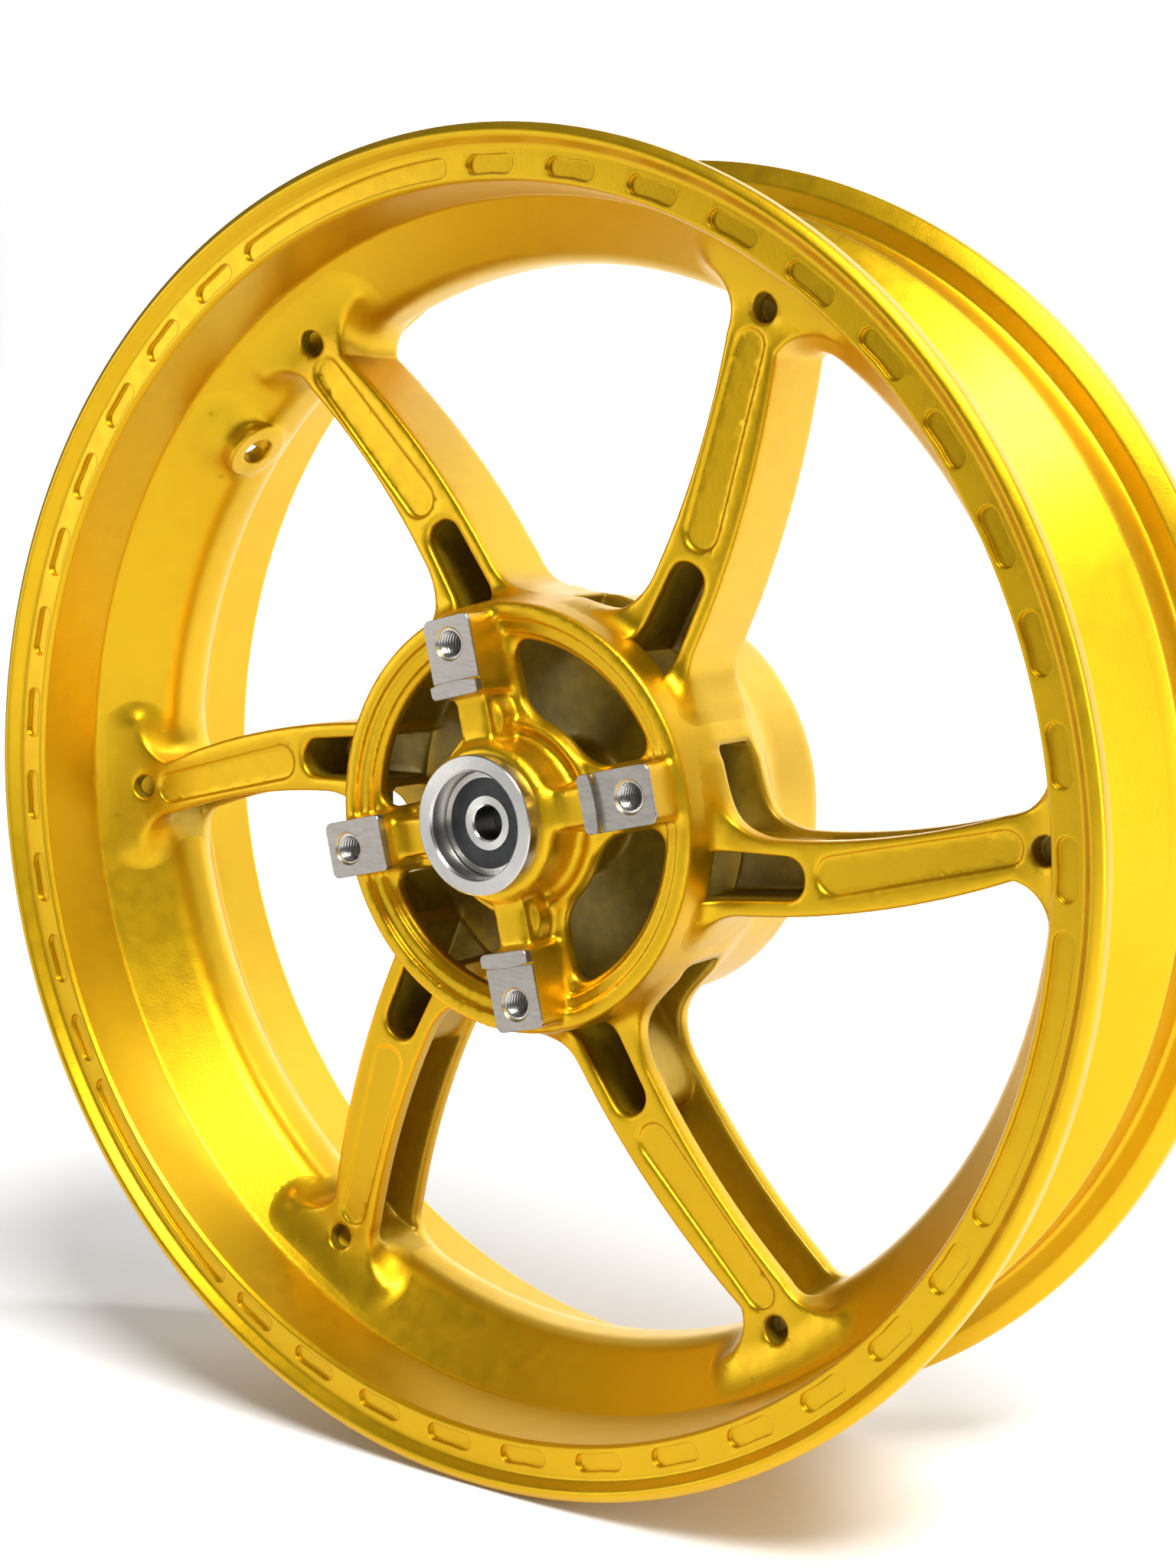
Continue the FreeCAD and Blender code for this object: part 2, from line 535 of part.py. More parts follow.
# windows in the front plate, one in each quadrant between the arms
window_disc = cylinder("window_disc", "D.window_outer_r", "D.window_cut", Placement())
bind(window_disc, Placement__Base__y="D.window_start_y")
window_core = cylinder("window_core", "D.window_inner_r", "D.window_cut", Placement())
bind(window_core, Placement__Base__y="D.window_start_y")
window_quarter = box("window_quarter", "D.window_outer_r", "D.window_cut", "D.window_outer_r",
                     Placement())
bind(window_quarter, Placement__Base__x="D.window_side", Placement__Base__z="D.window_side",
     Placement__Base__y="D.window_start_y")
window_raw = cut("window_raw", common("window_sector", [window_disc, window_quarter]), window_core)
window = round_upright("window", window_raw, "window_corner")
pad_angles = [dim("pad_phase") + 90 * k for k in range(4)]
windows = ring_copies("windows", window, pad_angles)

# arms, pads and centring lugs
pad_block = box("pad_block", "D.pad_out_r - D.lug_in_r", "D.block_end_y - D.pad_y", "D.pad_w",
                Placement())
bind(pad_block, Placement__Base__x="D.lug_in_r", Placement__Base__y="D.pad_y",
     Placement__Base__z="-D.pad_w / 2")
pad_round = round_upright("pad_round", pad_block, "pad_corner")
lug_box = box("lug_box", "D.pad_in_r - D.lug_in_r + D.joint_sink", "D.pad_y - D.lug_y + D.joint_sink",
              "D.pad_w", Placement())
bind(lug_box, Placement__Base__x="D.lug_in_r", Placement__Base__y="D.lug_y",
     Placement__Base__z="-D.pad_w / 2")
lug_round = round_upright("lug_round", lug_box, "lug_corner")
lug_disc = cylinder("lug_disc", "D.pad_in_r", "D.pad_y - D.lug_y + D.joint_sink", Placement())
bind(lug_disc, Placement__Base__y="D.lug_y")
lug = common("lug", [lug_round, lug_disc])
arm = box("arm", "D.lug_in_r + D.joint_sink - D.arm_in_r", "D.block_end_y - D.arm_y", "D.arm_w",
          Placement())
bind(arm, Placement__Base__x="D.arm_in_r", Placement__Base__y="D.arm_y",
     Placement__Base__z="-D.arm_w / 2")
arm_boss = cylinder("arm_boss", "D.arm_boss_r", "D.block_end_y - D.arm_boss_y", Placement())
bind(arm_boss, Placement__Base__x="D.arm_boss_at", Placement__Base__y="D.arm_boss_y")
arm_set = fuse("arm_set", [pad_round, lug, arm, arm_boss])
arms = ring_copies("arms", arm_set, pad_angles)

disc_hole = cylinder("disc_hole", "D.disc_hole_r", "D.disc_hole_depth + D.tool_clear", Placement())
bind(disc_hole, Placement__Base__x="D.pad_r", Placement__Base__y="D.pad_y - D.tool_clear")
disc_sink = doc.addObject("Part::Cone", "disc_sink")
disc_sink.Placement = Placement(Vector(), Rotation(X_AXIS, -90))
bind(disc_sink, Radius1="D.disc_sink_r", Radius2="D.disc_hole_r",
     Height="D.disc_sink_r - D.disc_hole_r", Placement__Base__x="D.pad_r",
     Placement__Base__y="D.pad_y")
disc_bore = fuse("disc_bore", [disc_hole, disc_sink])
disc_bores = ring_copies("disc_bores", disc_bore, pad_angles)

# vanes of the rear chamber
vane = box("vane", "D.chamber_r - D.vane_in_r + D.joint_sink",
           "D.vane_end_y - D.bulkhead_rear_y + D.joint_sink", "D.vane_t", Placement())
bind(vane, Placement__Base__x="D.vane_in_r", Placement__Base__y="D.bulkhead_rear_y - D.joint_sink",
     Placement__Base__z="-D.vane_t / 2")
vanes = ring_copies("vanes", vane, [30 + 60 * k for k in range(6)])

# ---------------------------------------------------------------- spokes
def spoke_plane(y):
    return Placement(Vector(0, y, 0), WHEEL_PLANE)


SPOKE_ANGLES = [60 * k for k in range(6)]
front_y = dim("spoke_front_y")
spoke_sketch = outline("spoke_outline", [
    ("trail_flare_x", "trail_flare_z"), ("trail_hub_x", "trail_hub_z"),
    ("trail_rim_x", "trail_rim_z"), ("rim_flare_x", "rim_flare_trail_z"),
    ("rim_flare_x", "rim_flare_lead_z"), ("lead_rim_x", "lead_rim_z"),
    ("lead_hub_x", "lead_hub_z"), ("lead_flare_x", "lead_flare_z")],
    {0: ("trail_flare_r", -1), 1: ("trail_bow_r", 1), 2: ("rim_flare_r", -1),
     4: ("rim_flare_r", -1), 5: ("lead_bow_r", -1), 6: ("lead_flare_r", -1)},
    spoke_plane(front_y))
spoke_bar = extrude("spoke_bar", spoke_sketch, "D.spoke_depth")
channel_sketch = outline("channel_outline", [
    ("channel_in_x", "channel_in_z"), ("channel_mid_x", "channel_mid_z"),
    ("channel_out_x", "channel_out_z"), ("channel_out_x", "channel_open_z"),
    ("channel_clear_x", "channel_open_z"), ("channel_clear_x", "hub_slot_z"),
    ("channel_in_x", "hub_slot_z")],
    {1: ("channel_bow_r", 1)}, spoke_plane(front_y + dim("spoke_front_t")))
channel = extrude("channel", channel_sketch,
                  "D.spoke_depth - D.spoke_front_t - D.spoke_rear_t")
light_sketch = outline("slot_outline", [
    ("slot_in_x", "slot_bot_in_z"), ("slot_out_x", "slot_bot_out_z"),
    ("slot_out_x", "slot_top_z"), ("slot_in_x", "slot_top_z")], None,
    spoke_plane(front_y - dim("tool_clear")))
light_raw = extrude("light_raw", light_sketch, "D.spoke_depth - D.spoke_rear_t + D.tool_clear")
light_slot = round_upright("light_slot", light_raw, "slot_corner")
wall_sketch = outline("slot_wall_outline", [
    ("slot_wall_in_x", "slot_wall_in_z"), ("slot_wall_out_x", "slot_wall_out_z"),
    ("slot_wall_out_x", "slot_wall_top_z"), ("slot_wall_in_x", "slot_wall_top_z")], None,
    spoke_plane(front_y + dim("joint_sink")))
wall_raw = extrude("wall_raw", wall_sketch, "D.spoke_depth - 2 * D.joint_sink")
doc.recompute()
far_edges = [(i, dim("slot_wall_corner"), dim("slot_wall_corner"))
             for i, e in enumerate(wall_raw.Shape.Edges, start=1)
             if along_y(e) and e.Vertexes[0].X > dim("slot_out_x")]
slot_wall = doc.addObject("Part::Fillet", "slot_wall")
slot_wall.Base = wall_raw
slot_wall.Edges = far_edges
recess_pair = []
for end in ("in", "out"):
    disc = cylinder("recess_" + end, "D.recess_%s_r" % end, "D.recess_depth + D.tool_clear", Placement())
    bind(disc, Placement__Base__x="D.recess_%s_x" % end, Placement__Base__z="D.recess_%s_z" % end,
         Placement__Base__y="D.spoke_front_y - D.tool_clear")
    recess_pair.append(disc)
recess_sketch = outline("recess_outline", [
    ("recess_in_x", "recess_in_low"), ("recess_out_x", "recess_out_low"),
    ("recess_out_x", "recess_out_high"), ("recess_in_x", "recess_in_high")], None,
    spoke_plane(front_y - dim("tool_clear")))
recess_mid = extrude("recess_mid", recess_sketch, "D.recess_depth + D.tool_clear")
recess = fuse("recess", recess_pair + [recess_mid])
tip_hole = cylinder("tip_hole", "D.tip_hole_r", "D.tip_hole_cut", Placement())
bind(tip_hole, Placement__Base__x="D.tip_hole_x", Placement__Base__z="D.tip_hole_z",
     Placement__Base__y="D.tip_hole_end_y - D.tip_hole_cut")
tyre_sketch = outline("tyre_section", [
    ("rim_mid_r", "zero"), ("rim_mid_r", "rim_mid_y"), ("rim_slope_r", "rim_slope_y"),
    ("tyre_space_r", "rim_slope_y"), ("tyre_space_r", "zero")])
tyre_rear = revolve("tyre_rear", tyre_sketch)
tyre_front = doc.addObject("Part::Mirroring", "tyre_front")
tyre_front.Source = tyre_rear
tyre_front.Normal = Y_AXIS
tyre_space = fuse("tyre_space", [tyre_front, tyre_rear])
spoke_trimmed = cut("spoke_trimmed", spoke_bar, tyre_space)
spoke_bars = ring_copies("spoke_bars", spoke_trimmed, SPOKE_ANGLES)
spoke_cutter = fuse("spoke_cutter", [channel, recess, tip_hole])
spoke_cuts = ring_copies("spoke_cuts", spoke_cutter, SPOKE_ANGLES)
slot_walls = ring_copies("slot_walls", slot_wall, SPOKE_ANGLES)
light_slots = ring_copies("light_slots", light_slot, SPOKE_ANGLES)

# ---------------------------------------------------------------- valve hole
valve_turn = Rotation(Y_AXIS, -dim("valve_angle")).multiply(Rotation(Y_AXIS, 90))


def valve_cylinder(name, radius, start, height):
    """Cylinder on the valve's axis that starts at a distance from the axle and grows outwards."""
    body = doc.addObject("Part::Cylinder", name)
    body.Placement = Placement(Vector(), valve_turn)
    return bind(body, Radius=radius, Height=height, Placement__Base__y="D.valve_y",
                Placement__Base__x="(%s) * cos(D.valve_angle)" % start,
                Placement__Base__z="(%s) * sin(D.valve_angle)" % start)


valve_stub = valve_cylinder("valve_stub", "D.valve_boss_r", "D.valve_boss_in_r",
                            "D.valve_boss_end_r - D.valve_boss_in_r")
valve_boss = cut("valve_boss", valve_stub, tyre_space)
valve_hole = valve_cylinder("valve_hole", "D.valve_hole_r", "D.valve_boss_in_r - D.tool_clear",
                            "D.valve_cut")
valve_seat = valve_cylinder("valve_seat", "D.valve_seat_r", "D.valve_seat_in_r", "D.valve_cut")

# ---------------------------------------------------------------- the casting
gross = fuse("gross", [rim, cut("hub_shell", hub_solid, cavity), spoke_bars])
hollow = cut("hollow", gross, gather("through_cuts", [spoke_cuts, windows]))
built_up = fuse("built_up", [hollow, arms, vanes, slot_walls, valve_boss])
machining = gather("machining", [disc_bores, light_slots, fuse("valve_cuts", [valve_hole, valve_seat]),
                                 short_pockets, long_pockets])
casting = cut("casting", built_up, machining)
NODES = [("wheel_casting", casting, Placement())]

# ---------------------------------------------------------------- bearings
outer_ring_sketch = outline("outer_ring_section", [
    ("outer_land_r", "zero"), ("outer_land_r", "seal_seat_y"), ("seal_seat_r", "seal_seat_y"),
    ("seal_seat_r", "ring_half_b"), ("ring_outer_edge_r", "ring_half_b"),
    ("bearing_od_r", "ring_edge_y"), ("bearing_od_r", "zero")])
inner_ring_sketch = outline("inner_ring_section", [
    ("bearing_bore_r", "zero"), ("bearing_bore_r", "ring_edge_y"),
    ("ring_bore_edge_r", "ring_half_b"), ("inner_land_r", "ring_half_b"),
    ("inner_land_r", "zero")])
rings = {}
for kind, sketch in (("outer", outer_ring_sketch), ("inner", inner_ring_sketch)):
    half = revolve(kind + "_half", sketch)
    other = doc.addObject("Part::Mirroring", kind + "_other_half")
    other.Source = half
    other.Normal = Y_AXIS
    groove = doc.addObject("Part::Torus", kind + "_groove")
    groove.Placement = Placement(Vector(), Rotation(X_AXIS, 90))
    sign = "-" if kind == "outer" else "+"
    bind(groove, Radius1="D.pitch_r %s (D.groove_r - D.ball_r - D.ball_play)" % sign,
         Radius2="D.groove_r")
    rings[kind] = cut(kind + "_ring", fuse(kind + "_blank", [half, other]), groove)

ball = sphere("ball", "D.ball_r", Placement())
bind(ball, Placement__Base__x="D.pitch_r")
ball_angles = [60 * k for k in range(6)]
balls = ring_copies("balls", ball, ball_angles)

strip = cylinder("strip", "D.cage_out_r", "D.cage_t", Placement())
band_out = cylinder("band_out", "D.cage_out_r", "D.cage_cup_r", Placement())
band_in = cylinder("band_in", "D.cage_in_r", "D.cage_cup_r", Placement())
band = cut("band", band_out, band_in)
cup = sphere("cup", "D.cage_cup_r", Placement())
bind(cup, Placement__Base__x="D.pitch_r")
pocket = sphere("pocket", "D.cage_pocket_r", Placement())
bind(pocket, Placement__Base__x="D.pitch_r")
cup_row = ring_copies("cup_row", cup, ball_angles)
cage_blank = common("cage_blank", [band, fuse("cups_on_strip", [strip, cup_row])])
rivet_stem = cylinder("rivet_stem", "D.rivet_r", "2 * D.cage_t", Placement())
bind(rivet_stem, Placement__Base__x="D.pitch_r", Placement__Base__y="-D.cage_t")
rivet_angles = [30 + 60 * k for k in range(6)]
cage_half = cut("cage_half", cage_blank,
                gather("cage_openings", [ring_copies("pockets", pocket, ball_angles),
                                         ring_copies("rivet_holes", rivet_stem, rivet_angles)]))
rivet_heads = []
for side, start in (("a", "D.cage_t"), ("b", "-D.cage_t - D.rivet_head_t")):
    head = cylinder("rivet_head_" + side, "D.rivet_head_r", "D.rivet_head_t", Placement())
    bind(head, Placement__Base__x="D.pitch_r", Placement__Base__y=start)
    rivet_heads.append(head)
rivet = fuse("rivet", [rivet_stem] + rivet_heads)
rivets = ring_copies("rivets", rivet, rivet_angles)

seal_out = cylinder("seal_out", "D.seal_out_r", "D.seal_t", Placement())
seal_in = cylinder("seal_in", "D.seal_in_r", "D.seal_t", Placement())
seal = cut("seal", seal_out, seal_in)
shield_out = cylinder("shield_out", "D.shield_out_r", "D.seal_y - D.seal_seat_y", Placement())
shield_in = cylinder("shield_in", "D.shield_in_r", "D.seal_y - D.seal_seat_y", Placement())
shield = cut("shield", shield_out, shield_in)
for part in (seal_out, seal_in):
    bind(part, Placement__Base__y="D.seal_y")
for part in (shield_out, shield_in):
    bind(part, Placement__Base__y="D.seal_seat_y")

FLIP = Rotation(Z_AXIS, 180)
bearing_mid = {"disc": dim("bearing_front_y") + dim("bearing_b") / 2,
               "drive": dim("bearing_rear_y") - dim("bearing_b") / 2}
for side, mid_y in bearing_mid.items():
    plain, flipped = Placement(Vector(0, mid_y, 0), Rotation()), Placement(Vector(0, mid_y, 0), FLIP)
    outward, inward = (flipped, plain) if side == "disc" else (plain, flipped)
    NODES += [(side + "_outer_ring", rings["outer"], plain),
              (side + "_inner_ring", rings["inner"], plain),
              (side + "_balls", balls, plain),
              (side + "_cage_outboard", cage_half, outward),
              (side + "_cage_inboard", cage_half, inward),
              (side + "_rivets", rivets, plain),
              (side + "_seal_outboard", seal, outward),
              (side + "_seal_inboard", seal, inward),
              (side + "_seal_plate_outboard", shield, outward),
              (side + "_seal_plate_inboard", shield, inward)]

# ---------------------------------------------------------------- distance tube
tube_out = cylinder("tube_out", "D.tube_out_r", "D.seat_rear_y - D.seat_front_y", Placement())
tube_in = cylinder("tube_in", "D.tube_in_r", "D.seat_rear_y - D.seat_front_y", Placement())
for part in (tube_out, tube_in):
    bind(part, Placement__Base__y="D.seat_front_y")
NODES.append(("distance_tube", cut("tube", tube_out, tube_in), Placement()))

# ---------------------------------------------------------------- nodes, checks and export
finals = []
for name, source, placement in NODES:
    node = link("node_" + name, source, placement.multiply(source.Placement))
    node.Label = name
    finals.append(node)
doc.recompute()
for obj in doc.Objects:
    if "Invalid" in obj.State or "Error" in obj.State:
        raise RuntimeError("%s: %s" % (obj.Label, obj.State))
os.makedirs("parts", exist_ok=True)
for node in finals:
    shape = node.getSubObject("")
    if shape is None or shape.isNull() or not shape.isValid():
        raise RuntimeError("bad shape: " + node.Label)
    shape.exportStep("parts/%s.step" % node.Label)
    size = shape.BoundBox
    print("%-28s solids %3d  %7.1f x %6.1f x %6.1f"
          % (node.Label, len(shape.Solids), size.XLength, size.YLength, size.ZLength))
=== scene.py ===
import math

import bmesh
import bpy
import numpy as np
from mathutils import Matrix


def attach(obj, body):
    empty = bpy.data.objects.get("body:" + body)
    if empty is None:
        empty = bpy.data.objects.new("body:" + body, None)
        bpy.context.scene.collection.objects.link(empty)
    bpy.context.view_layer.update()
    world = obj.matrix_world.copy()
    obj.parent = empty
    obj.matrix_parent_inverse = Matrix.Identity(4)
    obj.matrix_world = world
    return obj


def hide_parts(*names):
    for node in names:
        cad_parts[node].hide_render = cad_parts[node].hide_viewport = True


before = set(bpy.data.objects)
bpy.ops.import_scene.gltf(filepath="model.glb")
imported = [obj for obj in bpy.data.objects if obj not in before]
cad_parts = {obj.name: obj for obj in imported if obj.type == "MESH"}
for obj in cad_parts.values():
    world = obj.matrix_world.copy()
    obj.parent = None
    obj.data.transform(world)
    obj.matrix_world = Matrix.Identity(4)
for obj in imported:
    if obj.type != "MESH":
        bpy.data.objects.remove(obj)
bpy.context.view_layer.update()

import openvdb
from mathutils import Matrix, Vector

MM = 0.001
ARM_ANGLE = 12        # first disc arm, degrees from +X towards +Z
BOLT_R = 62.85        # disc bolt circle
VALVE_ANGLE = math.radians(136.9)
VALVE_Y = -8.8
VALVE_HOLE_R = 5.75


# ------------------------------------------------------------------ distance fields, millimetres
def poly_distance(px, pz, points):
    """Signed distance of the points (px, pz) to a closed polygon, negative inside."""
    best = np.full(px.shape, 1e18, np.float32)
    inside = np.zeros(px.shape, bool)
    count = len(points)
    for i in range(count):
        ax, az = points[i]
        bx, bz = points[(i + 1) % count]
        ex, ez = bx - ax, bz - az
        wx, wz = px - ax, pz - az
        t = np.clip((wx * ex + wz * ez) / (ex * ex + ez * ez + 1e-12), 0, 1)
        best = np.minimum(best, (wx - ex * t) ** 2 + (wz - ez * t) ** 2)
        if az != bz:
            hit = (az > pz) != (bz > pz)
            inside ^= hit & (px < (bx - ax) * (pz - az) / (bz - az) + ax)
    d = np.sqrt(best)
    return np.where(inside, -d, d).astype(np.float32)


def capsule(px, pz, a, b, ra, rb):
    """Signed distance to a tapered slot between two end circles."""
    ex, ez = b[0] - a[0], b[1] - a[1]
    t = np.clip(((px - a[0]) * ex + (pz - a[1]) * ez) / (ex * ex + ez * ez), 0, 1)
    return np.hypot(px - a[0] - ex * t, pz - a[1] - ez * t) - (ra + (rb - ra) * t)


def slab(d2, y, low, high, edge=0.0):
    """Extrude a flat distance between two y values, with rounded edges."""
    dy = np.abs(y - (low + high) / 2) - (high - low) / 2
    u, v = d2 + edge, dy + edge
    out = np.hypot(np.maximum(u, 0), np.maximum(v, 0))
    return out + np.minimum(np.maximum(u, v), 0) - edge


def join(a, b, k):
    """Union with a fillet of about k."""
    h = np.maximum(k - np.abs(a - b), 0) / k
    return np.minimum(a, b) - h * h * k * 0.25


def carve(a, b, k):
    """Subtract b from a with a rounded rim of about k."""
    return -join(-a, b, k)


def rounded(points, radii, steps=6):
    """Polygon with its corners rounded; a radius of 0 keeps a corner sharp."""
    out = []
    n = len(points)
    for i in range(n):
        p, a, b = (np.array(points[j % n], float) for j in (i, i - 1, i + 1))
        r = radii[i]
        if r <= 0:
            out.append(tuple(p))
            continue
        u, v = (a - p) / np.linalg.norm(a - p), (b - p) / np.linalg.norm(b - p)
        half = math.acos(max(-1, min(1, float(u @ v)))) / 2
        if half > math.pi / 2 - 0.01:
            out.append(tuple(p))
            continue
        centre = p + (u + v) / np.linalg.norm(u + v) * r / math.sin(half)
        s, e = p + u * r / math.tan(half), p + v * r / math.tan(half)
        a0 = math.atan2(*(s - centre)[::-1])
        a1 = math.atan2(*(e - centre)[::-1])
        turn = (a1 - a0 + math.pi) % (2 * math.pi) - math.pi
        for k in range(steps + 1):
            t = a0 + turn * k / steps
            out.append((centre[0] + r * math.cos(t), centre[1] + r * math.sin(t)))
    return out


def arc(a, b, radius, side, steps=16):
    """Points of an arc from a to b, without b."""
    a, b = np.array(a, float), np.array(b, float)
    half = (b - a) / 2
    normal = np.array([-half[1], half[0]]) / np.linalg.norm(half) * side
    centre = a + half + normal * math.sqrt(radius * radius - half @ half)
    a0 = math.atan2(*(a - centre)[::-1])
    a1 = math.atan2(*(b - centre)[::-1])
    turn = (a1 - a0 + math.pi) % (2 * math.pi) - math.pi
    return [(centre[0] + radius * math.cos(a0 + turn * k / steps),
             centre[1] + radius * math.sin(a0 + turn * k / steps)) for k in range(steps)]


def lathe_field(points, r, y):
    """Distance to a turned profile, looked up from a fine table of the section."""
    step = 0.25
    r0, r1 = float(r.min()) - 1, float(r.max()) + 1
    y0, y1 = float(y.min()) - 1, float(y.max()) + 1
    gr, gy = np.meshgrid(np.arange(r0, r1 + step, step), np.arange(y0, y1 + step, step),
                         indexing="ij")
    table = poly_distance(gr, gy, points)
    fr, fy = (r - r0) / step, (y - y0) / step
    i, j = fr.astype(np.int32), fy.astype(np.int32)
    fr, fy = (fr - i).astype(np.float32), (fy - j).astype(np.float32)
    return (table[i, j] * (1 - fr) * (1 - fy) + table[i + 1, j] * fr * (1 - fy)
            + table[i, j + 1] * (1 - fr) * fy + table[i + 1, j + 1] * fr * fy)


class Grid:
    """Block of space in millimetres sampled at one spacing."""

    def __init__(self, low, high, step):
        self.low, self.step = np.array(low, float), step
        axes = [np.arange(l, h + step, step, dtype=np.float32) for l, h in zip(low, high)]
        self.x = axes[0][:, None, None]
        self.y = axes[1][None, :, None]
        self.z = axes[2][None, None, :]
        self.shape = tuple(len(a) for a in axes)

    def mesh(self, name, field, adaptivity=0.0):
        """Mesh of the zero surface; the block's own faces close it."""
        values = np.array(np.broadcast_to(field, self.shape), dtype=np.float32, order="C")
        for axis in range(3):
            for end in (0, -1):
                cut = [slice(None)] * 3
                cut[axis] = end
                values[tuple(cut)] = np.maximum(values[tuple(cut)], self.step)
        limit = 4 * self.step
        np.clip(values, -limit, limit, out=values)
        grid = openvdb.FloatGrid(limit)
        grid.copyFromArray(values, tolerance=1e-6)
        verts, tris, quads = grid.convertToPolygons(isovalue=0.0, adaptivity=adaptivity)
        verts = (np.asarray(verts) * self.step + self.low) * MM
        me = bpy.data.meshes.new(name)
        faces = [tuple(int(i) for i in f[::-1]) for block in (quads, tris) for f in block]
        me.from_pydata(verts.tolist(), [], faces)
        me.validate()
        return me


# ------------------------------------------------------------------ sections shared by the pieces
RIM_HALF = rounded([
    (191.5, 0), (191.5, 8.5), (212.1, 30.5), (213.6, 55.4), (214.6, 57.2), (225.2, 57.2),
    (228.6, 62.5), (232.3, 60.0), (232.3, 54.6), (226.0, 50.8), (218.3, 50.8), (218.3, 36.0),
    (219.3, 31.8), (215.2, 27.6), (196.3, 7.3), (196.3, 0)],
    [0, 14, 3.5, 1.2, 0.9, 2.2, 1.9, 2.1, 1.8, 3, 2, 2, 2, 3, 6, 0], 5)[1:]


def mesh_from(bm, name):
    """Turn a bmesh into a mesh and free it."""
    me = bpy.data.meshes.new(name)
    bm.to_mesh(me)
    bm.free()
    return me


def turned(name, profile, segments):
    """Lathe a closed (radius, y) profile about the axle."""
    n = len(profile)
    verts = []
    for s in range(segments):
        a = 2 * math.pi * s / segments
        verts += [(r * math.cos(a) * MM, y * MM, r * math.sin(a) * MM) for r, y in profile]
    faces = []
    for s in range(segments):
        t = (s + 1) % segments
        for i in range(n):
            j = (i + 1) % n
            faces.append((s * n + i, s * n + j, t * n + j, t * n + i))
    me = bpy.data.meshes.new(name)
    me.from_pydata(verts, [], faces)
    bm = bmesh.new()
    bm.from_mesh(me)
    bmesh.ops.recalc_face_normals(bm, faces=bm.faces)
    bm.to_mesh(me)
    bm.free()
    return me


def add(name, me, material, body="wheel", smooth=True):
    """Object of the casting that turns with the wheel."""
    ob = bpy.data.objects.new(name, me)
    bpy.context.collection.objects.link(ob)
    me.materials.clear()
    me.materials.append(material)
    if smooth:
        me.polygons.foreach_set("use_smooth", [True] * len(me.polygons))
    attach(ob, body)
    return ob


def prism(points, low, high, inset):
    """bmesh of a polygon in (x, z) extruded from y low to high, with the high end inset."""
    bm = bmesh.new()
    cx = sum(p[0] for p in points) / len(points)
    cz = sum(p[1] for p in points) / len(points)

    def ring(y, shrink):
        out = []
        for x, z in points:
            d = math.hypot(x - cx, z - cz)
            f = 1 - shrink / d if d else 1
            out.append(bm.verts.new(((cx + (x - cx) * f) * MM, y * MM, (cz + (z - cz) * f) * MM)))
        return out

    a, b = ring(low, 0), ring(high, inset)
    n = len(points)
    bm.faces.new(a)
    bm.faces.new(b[::-1])
    for i in range(n):
        j = (i + 1) % n
        bm.faces.new((a[i], b[i], b[j], a[j]))
    bmesh.ops.recalc_face_normals(bm, faces=bm.faces)
    return bm


def stadium(r, centre, half_angle, width, steps=8):
    """Outline of a pocket that follows the rim, with round ends."""
    pts = []
    w = width / 2
    count = max(2, int(half_angle / 1.2))
    for k in range(count + 1):
        a = centre - half_angle + 2 * half_angle * k / count
        pts.append(((r - w) * math.cos(math.radians(a)), (r - w) * math.sin(math.radians(a))))
    a = math.radians(centre + half_angle)
    for k in range(1, steps):
        t = math.pi * k / steps
        pts.append(((r - w * math.cos(t)) * math.cos(a) - w * math.sin(t) * math.sin(a),
                    (r - w * math.cos(t)) * math.sin(a) + w * math.sin(t) * math.cos(a)))
    for k in range(count + 1):
        a = centre + half_angle - 2 * half_angle * k / count
        pts.append(((r + w) * math.cos(math.radians(a)), (r + w) * math.sin(math.radians(a))))
    a = math.radians(centre - half_angle)
    for k in range(1, steps):
        t = math.pi * k / steps
        pts.append(((r + w * math.cos(t)) * math.cos(a) + w * math.sin(t) * math.sin(a),
                    (r + w * math.cos(t)) * math.sin(a) - w * math.sin(t) * math.cos(a)))
    return pts


def subtract(ob, cutter_mesh):
    """Cut a mesh out of an object."""
    cutter = bpy.data.objects.new(cutter_mesh.name, cutter_mesh)
    bpy.context.collection.objects.link(cutter)
    mod = ob.modifiers.new("cut", "BOOLEAN")
    mod.operation = "DIFFERENCE"
    mod.solver = "EXACT"
    mod.object = cutter
    deps = bpy.context.evaluated_depsgraph_get()
    me = bpy.data.meshes.new_from_object(ob.evaluated_get(deps))
    ob.modifiers.clear()
    old = ob.data
    ob.data = me
    bpy.data.meshes.remove(old)
    bpy.data.objects.remove(cutter)


def cavity_shade(distance, amount=1.0):
    """Painted shade at a signed distance to a cavity, from 0 up to amount."""
    return np.clip(1 - (distance - 0.4) / 1.8, 0, 1) * amount


def store_painted_shade(me, measure):
    """Store on each point how much painted shade darkens it."""
    co = np.empty(len(me.vertices) * 3, np.float32)
    me.vertices.foreach_get("co", co)
    x, y, z = (co.reshape(-1, 3) / MM).T
    layer = me.attributes.new("painted_shade", "FLOAT", "POINT")
    layer.data.foreach_set("value", measure(x, y, z).astype(np.float32))


